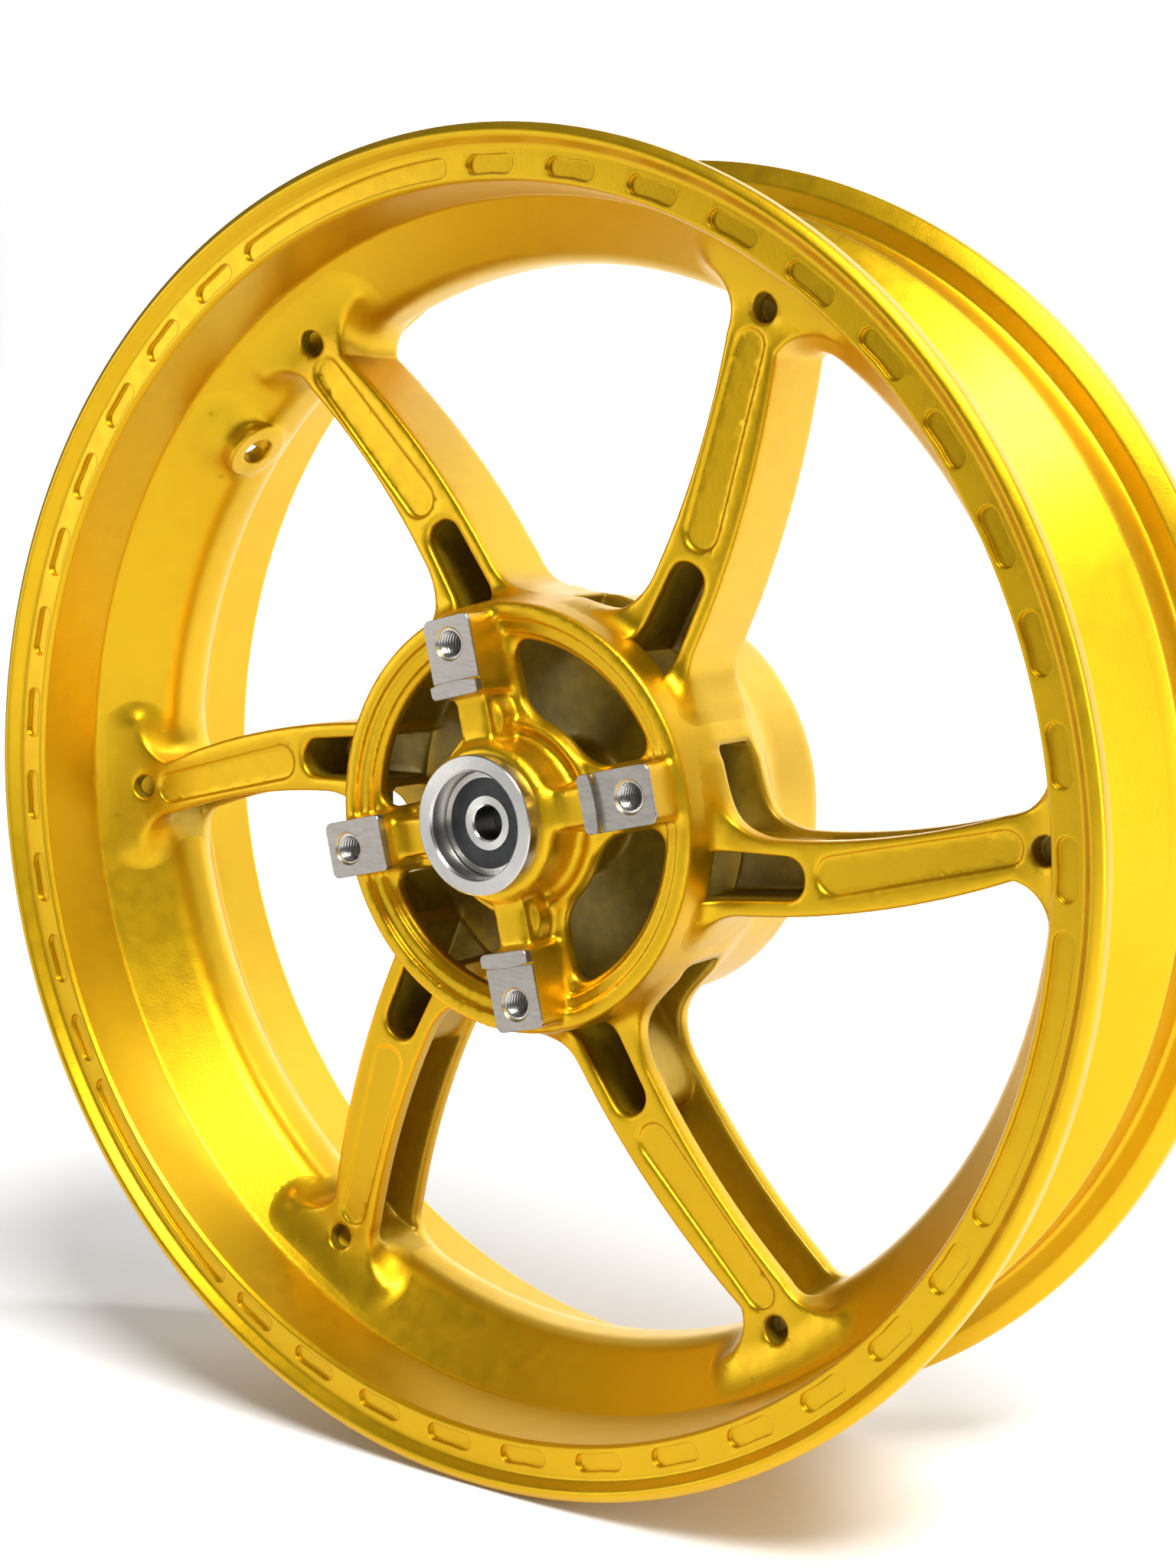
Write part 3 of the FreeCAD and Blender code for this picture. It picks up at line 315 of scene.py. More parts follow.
# ------------------------------------------------------------------ materials
class Nodes:
    """Material with one principled shader, fed from object coordinates."""

    def __init__(self, name):
        self.mat = bpy.data.materials.new(name)
        self.mat.use_nodes = True
        self.tree = self.mat.node_tree
        self.tree.nodes.clear()
        self.out = self.tree.nodes.new("ShaderNodeOutputMaterial")
        self.bsdf = self.tree.nodes.new("ShaderNodeBsdfPrincipled")
        self.tree.links.new(self.bsdf.outputs[0], self.out.inputs[0])
        self.coord = self.tree.nodes.new("ShaderNodeTexCoord").outputs["Object"]

    def node(self, kind, **sets):
        n = self.tree.nodes.new(kind)
        for key, value in sets.items():
            setattr(n, key, value)
        return n

    def link(self, a, b):
        self.tree.links.new(a, b)

    def noise(self, scale, detail=3.0, rough=0.55, stretch=None):
        n = self.node("ShaderNodeTexNoise")
        n.inputs["Scale"].default_value = scale
        n.inputs["Detail"].default_value = detail
        n.inputs["Roughness"].default_value = rough
        source = self.coord
        if stretch:
            m = self.node("ShaderNodeMapping")
            m.inputs["Scale"].default_value = stretch
            self.link(self.coord, m.inputs["Vector"])
            source = m.outputs[0]
        self.link(source, n.inputs["Vector"])
        return n.outputs["Fac"]

    def ramp(self, fac, stops):
        n = self.node("ShaderNodeValToRGB")
        el = n.color_ramp.elements
        while len(el) < len(stops):
            el.new(0.5)
        for e, (pos, col) in zip(el, stops):
            e.position = pos
            e.color = (*col, 1) if len(col) == 3 else col
        self.link(fac, n.inputs[0])
        return n.outputs[0]

    def math(self, op, a, b=None):
        n = self.node("ShaderNodeMath", operation=op)
        for i, v in enumerate((a, b)):
            if v is None:
                continue
            if isinstance(v, (int, float)):
                n.inputs[i].default_value = v
            else:
                self.link(v, n.inputs[i])
        return n.outputs[0]

    def bump(self, height, strength, distance, normal=None):
        n = self.node("ShaderNodeBump")
        n.inputs["Strength"].default_value = strength
        n.inputs["Distance"].default_value = distance
        self.link(height, n.inputs["Height"])
        if normal is not None:
            self.link(normal, n.inputs["Normal"])
        return n.outputs[0]


def gold_paint(name, soft_edge):
    """Satin metallic gold over a sand-cast surface, with painted shade in its cavities."""
    m = Nodes(name)
    m.bsdf.inputs["Coat Weight"].default_value = 0.15
    m.bsdf.inputs["Coat Roughness"].default_value = 0.25
    broad = m.noise(14.0, 3.0)
    paint = m.ramp(broad, [(0.3, (0.66, 0.390, 0.004)), (0.7, (0.70, 0.425, 0.006))])
    # painted shade: a dark olive, less metallic than the gold, mixed in by the stored attribute to
    # darken cavities
    shade_colour = m.ramp(m.noise(220.0, 3.0), [(0.35, (0.25, 0.165, 0.006)), (0.65, (0.33, 0.22, 0.008))])
    mix = m.node("ShaderNodeMix", data_type="RGBA")
    painted_shade = m.node("ShaderNodeAttribute", attribute_name="painted_shade").outputs["Fac"]
    m.link(painted_shade, mix.inputs["Factor"])
    m.link(m.ramp(painted_shade, [(0.0, (0.92,) * 3), (1.0, (0.35,) * 3)]), m.bsdf.inputs["Metallic"])
    m.link(paint, mix.inputs["A"])
    m.link(shade_colour, mix.inputs["B"])
    m.link(mix.outputs["Result"], m.bsdf.inputs["Base Color"])
    rough = m.noise(160.0, 4.0)
    m.link(m.ramp(rough, [(0.3, (0.35,) * 3), (0.7, (0.42,) * 3)]), m.bsdf.inputs["Roughness"])
    bev = m.node("ShaderNodeBevel", samples=6)
    bev.inputs["Radius"].default_value = soft_edge
    grain = m.bump(m.noise(1100.0, 2.0), 0.22, 0.0002, bev.outputs[0])
    swell = m.bump(m.noise(40.0, 2.0), 0.03, 0.0008, grain)
    m.link(swell, m.bsdf.inputs["Normal"])
    return m.mat


def machined(name, base, rough, stretch, scale=900.0):
    """Bare aluminium or steel with fine tool marks."""
    m = Nodes(name)
    m.bsdf.inputs["Metallic"].default_value = 1.0
    marks = m.noise(scale, 2.0, 0.6, stretch)
    dark = tuple(c * 0.82 for c in base)
    m.link(m.ramp(marks, [(0.35, dark), (0.65, base)]), m.bsdf.inputs["Base Color"])
    m.link(m.ramp(marks, [(0.3, (rough * 0.85,) * 3), (0.7, (rough * 1.2,) * 3)]),
           m.bsdf.inputs["Roughness"])
    m.link(m.bump(marks, 0.12, 0.0001), m.bsdf.inputs["Normal"])
    return m.mat


def turned_metal(name, base, rough, pitch=0.00045):
    """Metal with concentric turning marks about the axle."""
    m = Nodes(name)
    m.bsdf.inputs["Metallic"].default_value = 1.0
    sep = m.node("ShaderNodeSeparateXYZ")
    m.link(m.coord, sep.inputs[0])
    r = m.math("SQRT", m.math("ADD", m.math("MULTIPLY", sep.outputs[0], sep.outputs[0]),
                              m.math("MULTIPLY", sep.outputs[2], sep.outputs[2])))
    along = m.math("ADD", r, sep.outputs[1])
    rings = m.math("SINE", m.math("MULTIPLY", along, 2 * math.pi / pitch))
    patch = m.noise(120.0, 3.0)
    dark = tuple(c * 0.9 for c in base)
    m.link(m.ramp(patch, [(0.3, dark), (0.7, base)]), m.bsdf.inputs["Base Color"])
    m.link(m.ramp(patch, [(0.3, (rough * 0.95,) * 3), (0.7, (rough * 1.1,) * 3)]),
           m.bsdf.inputs["Roughness"])
    m.link(m.bump(rings, 0.10, 0.00008), m.bsdf.inputs["Normal"])
    return m.mat


def black_rubber(name):
    """Matt moulded rubber with a fine grain."""
    m = Nodes(name)
    m.link(m.ramp(m.noise(250.0, 3.0), [(0.3, (0.010, 0.011, 0.013)), (0.7, (0.022, 0.024, 0.027))]),
           m.bsdf.inputs["Base Color"])
    m.link(m.ramp(m.noise(180.0, 3.0), [(0.3, (0.38,) * 3), (0.7, (0.55,) * 3)]),
           m.bsdf.inputs["Roughness"])
    m.link(m.bump(m.noise(1400.0, 2.0), 0.15, 0.0001), m.bsdf.inputs["Normal"])
    return m.mat


GOLD = gold_paint("gold_cast", 0.0009)
PAD_METAL = machined("pad_aluminium", (0.43, 0.40, 0.36), 0.36, (0.25, 1, 1), 900.0)
BOSS_METAL = turned_metal("boss_aluminium", (0.60, 0.58, 0.55), 0.25)
RING_STEEL = turned_metal("ring_steel", (0.62, 0.60, 0.56), 0.24, 0.0003)
BALL_STEEL = turned_metal("ball_steel", (0.8, 0.8, 0.8), 0.08, 0.002)
CAGE_STEEL = machined("cage_steel", (0.5, 0.5, 0.5), 0.35, (1, 1, 1), 400.0)
TUBE_STEEL = turned_metal("tube_steel", (0.35, 0.35, 0.36), 0.34, 0.0006)
RUBBER = black_rubber("seal_rubber")

# ------------------------------------------------------------------ rim
rim_profile = [(r, -y) for r, y in reversed(RIM_HALF)] + RIM_HALF
rim = add("rim", turned("rim", rim_profile, 480), GOLD)
# cast pockets in the disc side flange: one long and eleven short, three times round
LONG_ANGLE, LONG_HALF, SHORT_HALF = 103.5, 11.7, 1.75
FIRST_SHORT, SHORT_STEP, SHORT_COUNT = 17.2, 8.56, 11
POCKET_R, POCKET_WIDTH, POCKET_FLOOR, POCKET_DRAFT = 219.3, 6.9, -55.6, 0.55
pockets = bmesh.new()
for third in range(3):
    middle = LONG_ANGLE - 120 * third
    spans = [(middle, LONG_HALF)]
    spans += [(middle - FIRST_SHORT - SHORT_STEP * i, SHORT_HALF) for i in range(SHORT_COUNT)]
    for centre, half in spans:
        pocket = mesh_from(prism(stadium(POCKET_R, centre, half, POCKET_WIDTH),
                                 -60.0, POCKET_FLOOR, POCKET_DRAFT), "pocket")
        pockets.from_mesh(pocket)
        bpy.data.meshes.remove(pocket)
subtract(rim, mesh_from(pockets, "pockets"))

out_dir = Vector((math.cos(VALVE_ANGLE), 0, math.sin(VALVE_ANGLE)))


def valve_cylinder(name, radius, depth, middle_r, segments):
    """Cylinder on the valve's axis, its middle at a radius from the axle."""
    bm = bmesh.new()
    bmesh.ops.create_cone(bm, cap_ends=True, segments=segments, radius1=radius * MM,
                          radius2=radius * MM, depth=depth * MM)
    place = Matrix.Translation(out_dir * middle_r * MM + Vector((0, VALVE_Y * MM, 0)))
    turned_out = out_dir.to_track_quat("Z", "Y").to_matrix().to_4x4()
    bmesh.ops.transform(bm, matrix=place @ turned_out, verts=bm.verts)
    return mesh_from(bm, name)


subtract(rim, valve_cylinder("valve_cut", VALVE_HOLE_R, 60, 200, 48))
subtract(rim, valve_cylinder("seat_cut", 8.5, 20, 206, 64))
rim.data.polygons.foreach_set("use_smooth", [True] * len(rim.data.polygons))
rim.data.set_sharp_from_angle(angle=math.radians(28))

# how far the pieces that join the rim and the hub stay under their skins
UNDER_RIM, UNDER_HUB = 0.06, 0.15


def rim_fields(g):
    """Rim metal, a little under its skin, and the space that the tyre fills."""
    r = np.broadcast_to(np.hypot(g.x, g.z), g.shape)
    skin = lathe_field(rim_profile, r, np.broadcast_to(g.y, g.shape)) + UNDER_RIM
    tyre = 194.0 + np.maximum(np.abs(g.y) - 7.9, 0) * (19.65 / 21.15) - r
    return skin, tyre


# raised ring of the valve boss, with the hole through it
BOSS_R, BOSS_FACE_R = 12.35, 190.4
g = Grid((-176, -30, 98), (-106, 12, 166), 0.5)
skin, tyre = rim_fields(g)
ca, sa = math.cos(VALVE_ANGLE), math.sin(VALVE_ANGLE)
out_r = g.x * ca + g.z * sa
off = np.sqrt((g.z * ca - g.x * sa) ** 2 + (g.y - VALVE_Y) ** 2)
stub = slab(off - BOSS_R, out_r, BOSS_FACE_R, 212.0, 0.9)
mound = np.sqrt(off ** 2 + (out_r - 207) ** 2) - 15.0
body = join(join(skin, mound, 9.0), stub, 1.6)
body = np.maximum(body, -tyre)
body = carve(body, slab(off - VALVE_HOLE_R, out_r, 180, 215), 0.5)
# flat seat for the valve on the tyre side
body = np.maximum(body, out_r - 195.9 - np.maximum(off - 8.4, 0) * 50)
valve_boss = add("valve_boss", g.mesh("valve_boss", body, 0.05), GOLD)
del skin, tyre, out_r, off, stub, mound, body

# ------------------------------------------------------------------ spokes
# outlines of the spoke that lies along +X, in (x, z)
spoke_outline = (arc((67, -37), (84, -29), 30, -1) + arc((84, -29), (184, -8.8), 330, 1)
                 + arc((184, -8.8), (199, -24), 20, -1) + [(199, -24), (206, -24), (206, 27)]
                 + arc((199, 27), (182, 11.6), 20, -1) + arc((182, 11.6), (98, -2.2), 290, -1)
                 + arc((98, -2.2), (72, 20), 27, -1) + [(72, 20), (60, 20), (60, -37)])
channel_outline = ([(52, -27)] + arc((84, -23.8), (188, -3), 335, 1)
                   + [(188, -3), (190, 6), (188, 45), (110, 45), (98, 27), (52, 27)])
slot_outline = rounded([(56, -25.4), (109.5, -21.4), (109.5, -7.6), (56, -7.6)], [0, 6.5, 6.5, 0])
CHANNEL_Y = (-12.5, 6.0)
SLOT_FLOOR = 5.5
TIP_HOLE = (195.3, 1.6)
TIP_HOLE_R = 4.7
CAVITY_WALL = 70.7
# section of the hub's wall that the spokes grow out of, in (radius, y)
HUB_SECTION = rounded(
    [(70.5, -25), (70.5, 6), (23.5, 6), (23.5, 12), (66, 12), (66, 50), (72, 50), (75, 47), (75, 20),
     (78, 10), (78, -14), (75.4, -35.4), (70, -35.4), (70, -33), (65, -33), (65, -31), (40, -31),
     (40, -25)],
    [3, 3, 0, 0, 2, 0.8, 1.5, 1.5, 6, 6, 10, 1.2, 0.8, 0.8, 0.8, 0.8, 0, 0])

g = Grid((60, -40, -52), (214, 26, 56), 0.6)
px, pz = np.broadcast_arrays(g.x[:, 0, :], g.z[:, 0, :])
radius = np.hypot(g.x, g.z)
flat = poly_distance(px, pz, spoke_outline)[:, None, :]
bar = slab(flat, g.y, -20.0, 12.0, 1.6)
rim_skin, tyre = rim_fields(g)
hub_skin = lathe_field(HUB_SECTION, np.broadcast_to(radius, g.shape),
                       np.broadcast_to(g.y, g.shape)) + UNDER_HUB
body = join(bar, rim_skin, 10.0)
body = join(body, hub_skin, 8.0)
# the tyre side of the rim and the hollow of the hub stay clear
body = np.maximum(body, -tyre)
body = np.maximum(body, CAVITY_WALL - radius)
channel = slab(poly_distance(px, pz, channel_outline)[:, None, :], g.y, *CHANNEL_Y, 2.0)
body = carve(body, channel, 2.0)
# light slot: a pocket from the front, with its own wall inside the channel
slot = poly_distance(px, pz, slot_outline)[:, None, :]
body = join(body, np.maximum(slab(slot - 3.2, g.y, -17, 8), CAVITY_WALL - radius), 2.0)
body = carve(body, np.maximum(slot, g.y - SLOT_FLOOR), 2.2)
# shallow recess along the front face, and the blind hole near the rim
recess = capsule(px, pz, (121.0, -12.2), (182.0, 1.4), 6.9, 6.0)[:, None, :]
body = carve(body, np.maximum(recess + (g.y + 20) * 0.5, g.y + 18.7), 0.7)
tip = np.hypot(px - TIP_HOLE[0], pz - TIP_HOLE[1])[:, None, :] - TIP_HOLE_R
body = carve(body, np.maximum(tip, g.y + 13.6), 0.8)
spoke_mesh = g.mesh("spokes", body, 0.04)
# painted shade: darkens the inside of the channels, the light slots and the blind tip holes
store_painted_shade(spoke_mesh, lambda x, y, z: np.maximum.reduce([
    cavity_shade(slab(poly_distance(x, z, channel_outline), y, *CHANNEL_Y), 0.55),
    cavity_shade(slab(poly_distance(x, z, slot_outline), y, -14.0, 6.0)),
    cavity_shade(slab(np.hypot(x - TIP_HOLE[0], z - TIP_HOLE[1]) - TIP_HOLE_R, y, -18.5, -12.0))]))
del rim_skin, tyre, hub_skin, bar, channel, slot, body
spokes = []
for k in range(6):
    turned_spoke = spoke_mesh.copy()
    turned_spoke.transform(Matrix.Rotation(-math.radians(60 * k), 4, "Y"))
    spokes.append(add(f"spoke_{k + 1}", turned_spoke, GOLD))
bpy.data.meshes.remove(spoke_mesh)

# ------------------------------------------------------------------ hub
hub_profile = rounded(
    [(22, -48), (25.4, -48), (27.6, -46), (27.6, -31), (65, -31), (65, -33), (70, -33), (70, -35.4),
     (75.4, -35.4), (78, -14), (78, 10), (75, 20), (75, 50), (66, 50), (66, 12), (23.5, 12), (23.5, 31),
     (22, 31), (22, 17.5), (15.5, 17.5), (15.5, -34), (22, -34)],
    [0, 0.8, 1.2, 3.0, 1.0, 0.9, 1.0, 0.9, 1.5, 10, 6, 6, 2.0, 1.2, 3, 3, 1, 0, 0, 0, 0, 0])
cavity_profile = rounded([(23.5, -25), (70.5, -25), (70.5, 6), (23.5, 6)], [3, 4, 4, 3])
g = Grid((-80, -50, -80), (80, 52, 80), 0.55)
radius = np.hypot(g.x, g.z)
angle = np.arctan2(g.z, g.x)[:, 0, :]
flat_r = radius[:, 0, :]


def folded(turns, phase):
    """Coordinates along and across the nearest of several equal sectors."""
    sector = 2 * math.pi / turns
    a = (angle - math.radians(phase) + sector / 2) % sector - sector / 2
    return flat_r * np.cos(a), flat_r * np.sin(a)


def lathe_block(profile):
    """Turned section over the whole block."""
    r1 = np.arange(0, float(radius.max()) + 0.2, 0.2, dtype=np.float32)
    table = lathe_field(profile, r1[:, None] + 0 * g.y[0].T, g.y[0].T + 0 * r1[:, None])
    where = (flat_r / 0.2).astype(np.int32)
    part = (flat_r / 0.2 - where)[:, :, None].astype(np.float32)
    where = np.minimum(where, len(r1) - 2)
    return (table[where] * (1 - part) + table[where + 1] * part).transpose(0, 2, 1)


along, across = folded(4, ARM_ANGLE)
body = lathe_block(hub_profile)
body = carve(body, lathe_block(cavity_profile), 2.0)
arm_plan = [(20, -6.5), (46, -6.5), (46, 6.5), (20, 6.5)]
arm = slab(poly_distance(along, across, arm_plan)[:, None, :], g.y, -44, -27, 1.2)
body = join(body, arm, 3.5)
bump = slab((np.hypot(along - 35, across) - 9)[:, None, :], g.y, -39.5, -27, 1.5)
body = join(body, bump, 2.5)
collar_ring = np.hypot(radius - 33.5, g.y + 31) - 1.5
body = join(body, collar_ring, 2.0)
pad_plan = rounded([(44.5, -10), (72, -10), (72, 10), (44.5, 10)], [1.9, 2.5, 2.5, 1.9])
pad = slab(poly_distance(along, across, pad_plan)[:, None, :], g.y, -49.2, -27, 0.4)
body = join(body, pad, 3.5)
# four windows between the arms, each with the same corner radius
sides = [flat_r - 62.5, 36.0 - flat_r]
quarter = folded(4, ARM_ANGLE + 45)
turned_a = (quarter[0] + quarter[1]) / math.sqrt(2)
turned_b = (quarter[0] - quarter[1]) / math.sqrt(2)
sides += [12.0 - turned_a, 12.0 - turned_b]
CORNER = 7.5
outer = np.sqrt(sum(np.maximum(s + CORNER, 0) ** 2 for s in sides)) - CORNER
window = np.where(outer > -CORNER + 1e-3, outer, np.maximum.reduce(sides))
body = carve(body, slab(window[:, None, :], g.y, -40, -12), 2.6)
along6, across6 = folded(6, 0)
hub_channel = slab(poly_distance(along6, across6, channel_outline)[:, None, :], g.y, *CHANNEL_Y, 2.0)
body = carve(body, hub_channel, 1.6)
hub_slot = poly_distance(along6, across6, slot_outline)[:, None, :]
body = carve(body, slab(hub_slot, g.y, -21, SLOT_FLOOR), 1.5)
vane_a, vane_b = folded(6, 30)
vane = poly_distance(vane_a, vane_b, [(40, -4), (68, -4), (68, 4), (40, 4)])[:, None, :]
body = join(body, slab(vane, g.y, 8, 48, 1.0), 4.0)
bolt = (np.hypot(along - BOLT_R, across) - 5.4)[:, None, :]
body = carve(body, slab(bolt, g.y, -60, -32.4), 0.3)
hub_mesh = g.mesh("hub", body, 0.12)


def hub_painted_shade(x, y, z):
    """Painted shade in the hub's front chamber and in the openings beside the spokes."""
    r = np.hypot(x, z)
    a = (np.arctan2(z, x) + math.pi / 6) % (math.pi / 3) - math.pi / 6
    side = poly_distance(r * np.cos(a), r * np.sin(a), channel_outline)
    return np.maximum(cavity_shade(lathe_field(cavity_profile, r, y)), cavity_shade(slab(side, y, *CHANNEL_Y), 0.6))


# painted shade on the hub's chamber and openings
store_painted_shade(hub_mesh, hub_painted_shade)
hub = add("hub", hub_mesh, GOLD)
del radius, arm, bump, collar_ring, pad, hub_channel, hub_slot, vane, bolt, body

# ------------------------------------------------------------------ machined pads and boss
def skinned(rings, capped):
    """bmesh of a body from rings of points: a tube closed on itself, or a stack with two caps."""
    bm = bmesh.new()
    loops = [[bm.verts.new([c * MM for c in p]) for p in ring] for ring in rings]
    n = len(loops[0])
    for a, b in zip(loops, loops[1:] if capped else loops[1:] + loops[:1]):
        for i in range(n):
            j = (i + 1) % n
            bm.faces.new((a[i], a[j], b[j], b[i]))
    if capped:
        bm.faces.new(loops[0][::-1])
        bm.faces.new(loops[-1])
    bmesh.ops.recalc_face_normals(bm, faces=bm.faces)
    return bm


def bolt_circle(r, y, n=96):
    """Ring of points about the bolt that lies along +X."""
    return [(BOLT_R + r * math.cos(2 * math.pi * k / n), y, r * math.sin(2 * math.pi * k / n))
            for k in range(n)]


def bolt_outline(points, y, n=96):
    """A closed outline resampled by angle about the bolt, so it joins to a circle."""
    out = []
    for k in range(n):
        a = 2 * math.pi * k / n
        dx, dz = math.cos(a), math.sin(a)
        best = None
        for i in range(len(points)):
            (ax, az), (bx, bz) = points[i], points[(i + 1) % len(points)]
            ex, ez = bx - ax, bz - az
            det = dx * -ez + ex * dz
            if abs(det) < 1e-12:
                continue
            wx, wz = ax - BOLT_R, az
            t = (wx * -ez + ex * wz) / det
            s = (dx * wz - dz * wx) / det
            if t > 0 and -1e-9 <= s <= 1 + 1e-9 and (best is None or t > best):
                best = t
        out.append((BOLT_R + dx * best, y, dz * best))
    return out


def inset_outline(points, by):
    """Move an outline towards the bolt by a distance."""
    out = []
    for x, z in points:
        shrink = 1 - by / math.hypot(x - BOLT_R, z)
        out.append((BOLT_R + (x - BOLT_R) * shrink, z * shrink))
    return out


plate_outline = rounded([(49.8, -10.1), (72.1, -10.1), (72.1, 10.1), (49.8, 10.1)], [0, 2.6, 2.6, 0])
lug_outline = (rounded([(49.0, 10.1), (44.4, 10.1), (44.4, -10.1), (49.0, -10.1)],
                       [0, 1.9, 1.9, 0])[1:-1]
               + [(50.0 * math.cos(math.radians(a)), 50.0 * math.sin(math.radians(a)))
                  for a in np.linspace(-11.65, 11.65, 13)])
PAD_BACK, PAD_FACE, LUG_FACE = -48.3, -49.4, -51.6
plate = skinned([
    bolt_outline(plate_outline, PAD_BACK), bolt_outline(plate_outline, -49.15),
    bolt_outline(inset_outline(plate_outline, 0.25), PAD_FACE),
    bolt_circle(6.1, PAD_FACE), bolt_circle(5.2, -48.5), bolt_circle(5.2, PAD_BACK)], capped=False)
LUG_MIDDLE = 47.2
lug = skinned([[((x - LUG_MIDDLE) * (1 - shrink / 6) + LUG_MIDDLE, y, z * (1 - shrink / 12))
                for x, z in lug_outline]
               for y, shrink in ((PAD_BACK, 0.0), (-51.3, 0.0), (LUG_FACE, 0.3))], capped=True)

# sleeve with the screw thread of a bolt hole cut inside it
PITCH, CREST, ROOT = 1.5, 4.25, 4.95
TURN_STEPS, PITCH_STEPS = 48, 8
FIRST, LAST = -48.4, -33.0
levels = int((LAST - FIRST) / (PITCH / PITCH_STEPS))
thread_rings = [bolt_circle(5.5, FIRST - 0.25, TURN_STEPS)]
for k in range(levels + 1):
    y = FIRST + (LAST - FIRST) * k / levels
    ring = []
    for i in range(TURN_STEPS):
        a = 2 * math.pi * i / TURN_STEPS
        phase = ((y - FIRST) / PITCH + i / TURN_STEPS) % 1.0
        depth = min(1.0, abs(phase - 0.5) * 2.4)
        r = CREST + (ROOT - CREST) * (1 - depth)
        ring.append((BOLT_R + r * math.cos(a), y, r * math.sin(a)))
    thread_rings.append(ring)
thread_rings.append(bolt_circle(5.7, LAST, TURN_STEPS))
thread_rings.append(bolt_circle(5.7, -48.0, TURN_STEPS))


def on_each_arm(bodies, name):
    """One mesh with the bodies repeated on the four disc arms."""
    parts = [mesh_from(bm, name) for bm in bodies]
    whole = bmesh.new()
    for k in range(4):
        for part in parts:
            copy = part.copy()
            copy.transform(Matrix.Rotation(-math.radians(ARM_ANGLE + 90 * k), 4, "Y"))
            whole.from_mesh(copy)
            bpy.data.meshes.remove(copy)
    for part in parts:
        bpy.data.meshes.remove(part)
    return mesh_from(whole, name)


disc_pads = add("disc_pads", on_each_arm([plate, lug], "disc_pads"), PAD_METAL, smooth=False)
disc_threads = add("disc_threads",
                   on_each_arm([skinned(thread_rings, capped=False)], "disc_threads"), BOSS_METAL)

front_sleeve = [(19.3, -54.3), (23.8, -54.3), (24.25, -53.9), (24.25, -47.4), (22.6, -47.4),
                (22.6, -33.6), (15.5, -33.6), (15.5, -34.6), (18.52, -34.6), (18.52, -53.5)]
boss_front = add("boss_front", turned("boss_front", front_sleeve, 256), BOSS_METAL, smooth=False)
rear_sleeve = [(19.3, 31.0), (22.9, 31.0), (23.2, 30.7), (23.2, 17.4), (15.5, 17.4), (15.5, 18.0),
               (18.52, 18.0), (18.52, 30.2)]
boss_rear = add("boss_rear", turned("boss_rear", rear_sleeve, 192), BOSS_METAL, smooth=False)

# ------------------------------------------------------------------ camera, light, floor
cam = bpy.data.cameras.new("camera")
cam.lens = 54.34
cam.sensor_width = 36.0
cam_ob = bpy.data.objects.new("camera", cam)
bpy.context.collection.objects.link(cam_ob)
forward = Vector((-0.58275, 0.80429, -0.11628)).normalized()
up = Vector((-0.05772, 0.10176, 0.99313))
side = forward.cross(up).normalized()
up = side.cross(forward)
turn = Matrix((side, up, -forward)).transposed()
cam_ob.matrix_world = Matrix.Translation((0.50080, -0.67840, 0.10736)) @ turn.to_4x4()
bpy.context.scene.camera = cam_ob
bpy.context.scene.view_settings.view_transform = "Standard"


def softbox(name, place, aim, size, power):
    """Rectangular light turned towards a point."""
    data = bpy.data.lights.new(name, "AREA")
    data.shape = "RECTANGLE"
    data.size, data.size_y = size
    data.energy = power
    ob = bpy.data.objects.new(name, data)
    bpy.context.collection.objects.link(ob)
    ob.location = place
    ob.rotation_euler = (Vector(aim) - Vector(place)).to_track_quat("-Z", "Y").to_euler()


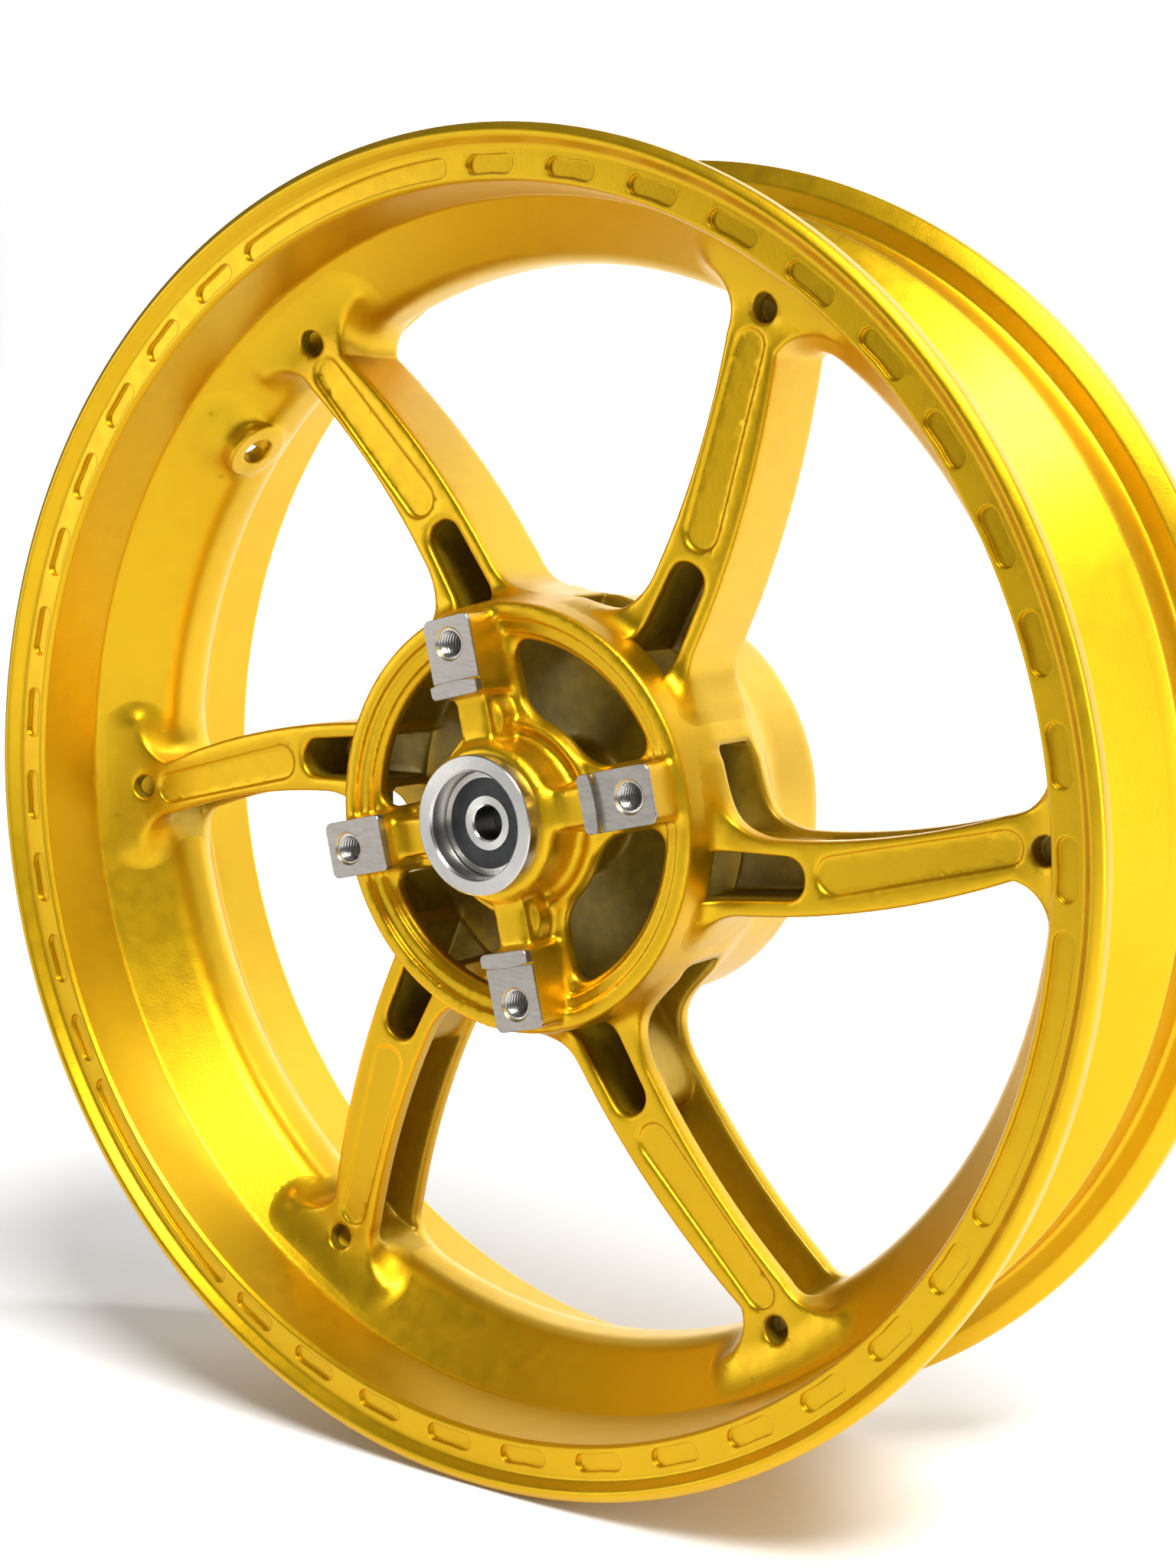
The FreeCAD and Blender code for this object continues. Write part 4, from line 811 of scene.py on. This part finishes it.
softbox("key", (1.1, -0.7, 1.8), (0, 0, 0), (1.1, 0.7), 66)
softbox("side", (1.8, 0.0, 0.3), (0, 0, 0), (0.6, 1.2), 14)
softbox("low_left", (-1.3, -1.2, 0.3), (0, 0, 0), (0.5, 0.8), 5)
softbox("wall_left", (-2.6, 1.2, 2.2), (-2.4, 4.0, 0.9), (2.0, 1.0), 115)
softbox("wall_right", (1.4, 1.6, 2.4), (0.0, 4.0, 0.9), (2.0, 1.0), 115)
world = bpy.data.worlds.new("world")
bpy.context.scene.world = world
world.use_nodes = True
world.node_tree.nodes["Background"].inputs[0].default_value = (1, 1, 1, 1)
world.node_tree.nodes["Background"].inputs[1].default_value = 0.14

# floor that sweeps up into a wall behind the wheel, as (y, z)
FLOOR_Z, SWEEP_START, SWEEP_R, SWEEP_STEPS = -0.2325, 2.6, 1.2, 16
sweep = [(-4.0, FLOOR_Z), (SWEEP_START, FLOOR_Z)]
for k in range(1, SWEEP_STEPS + 1):
    a = math.pi / 2 * k / SWEEP_STEPS
    sweep.append((SWEEP_START + SWEEP_R * math.sin(a), FLOOR_Z + SWEEP_R * (1 - math.cos(a))))
sweep.append((SWEEP_START + SWEEP_R, 5.0))
floor_me = bpy.data.meshes.new("floor")
floor_me.from_pydata([(x, y, z) for y, z in sweep for x in (-7, 7)], [],
                     [(2 * i, 2 * i + 1, 2 * i + 3, 2 * i + 2) for i in range(len(sweep) - 1)])
floor_me.polygons.foreach_set("use_smooth", [True] * len(floor_me.polygons))
floor = bpy.data.objects.new("floor", floor_me)
bpy.context.collection.objects.link(floor)
paper = Nodes("paper")
paper.link(paper.ramp(paper.noise(3.0), [(0.3, (0.92,) * 3), (0.7, (0.94,) * 3)]),
           paper.bsdf.inputs["Base Color"])
paper.bsdf.inputs["Roughness"].default_value = 0.9
floor_me.materials.append(paper.mat)

# ------------------------------------------------------------------ kept pieces, replaced casting
KEPT = {"outer_ring": RING_STEEL, "inner_ring": RING_STEEL, "balls": BALL_STEEL, "cage": CAGE_STEEL,
        "rivets": CAGE_STEEL, "seal": RUBBER, "tube": TUBE_STEEL}
for name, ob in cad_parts.items():
    for key, material in KEPT.items():
        if key in name:
            ob.data.materials.clear()
            ob.data.materials.append(material)

for piece in (rim, valve_boss, *spokes, hub, disc_pads, disc_threads, boss_front, boss_rear):
    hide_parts("wheel_casting")
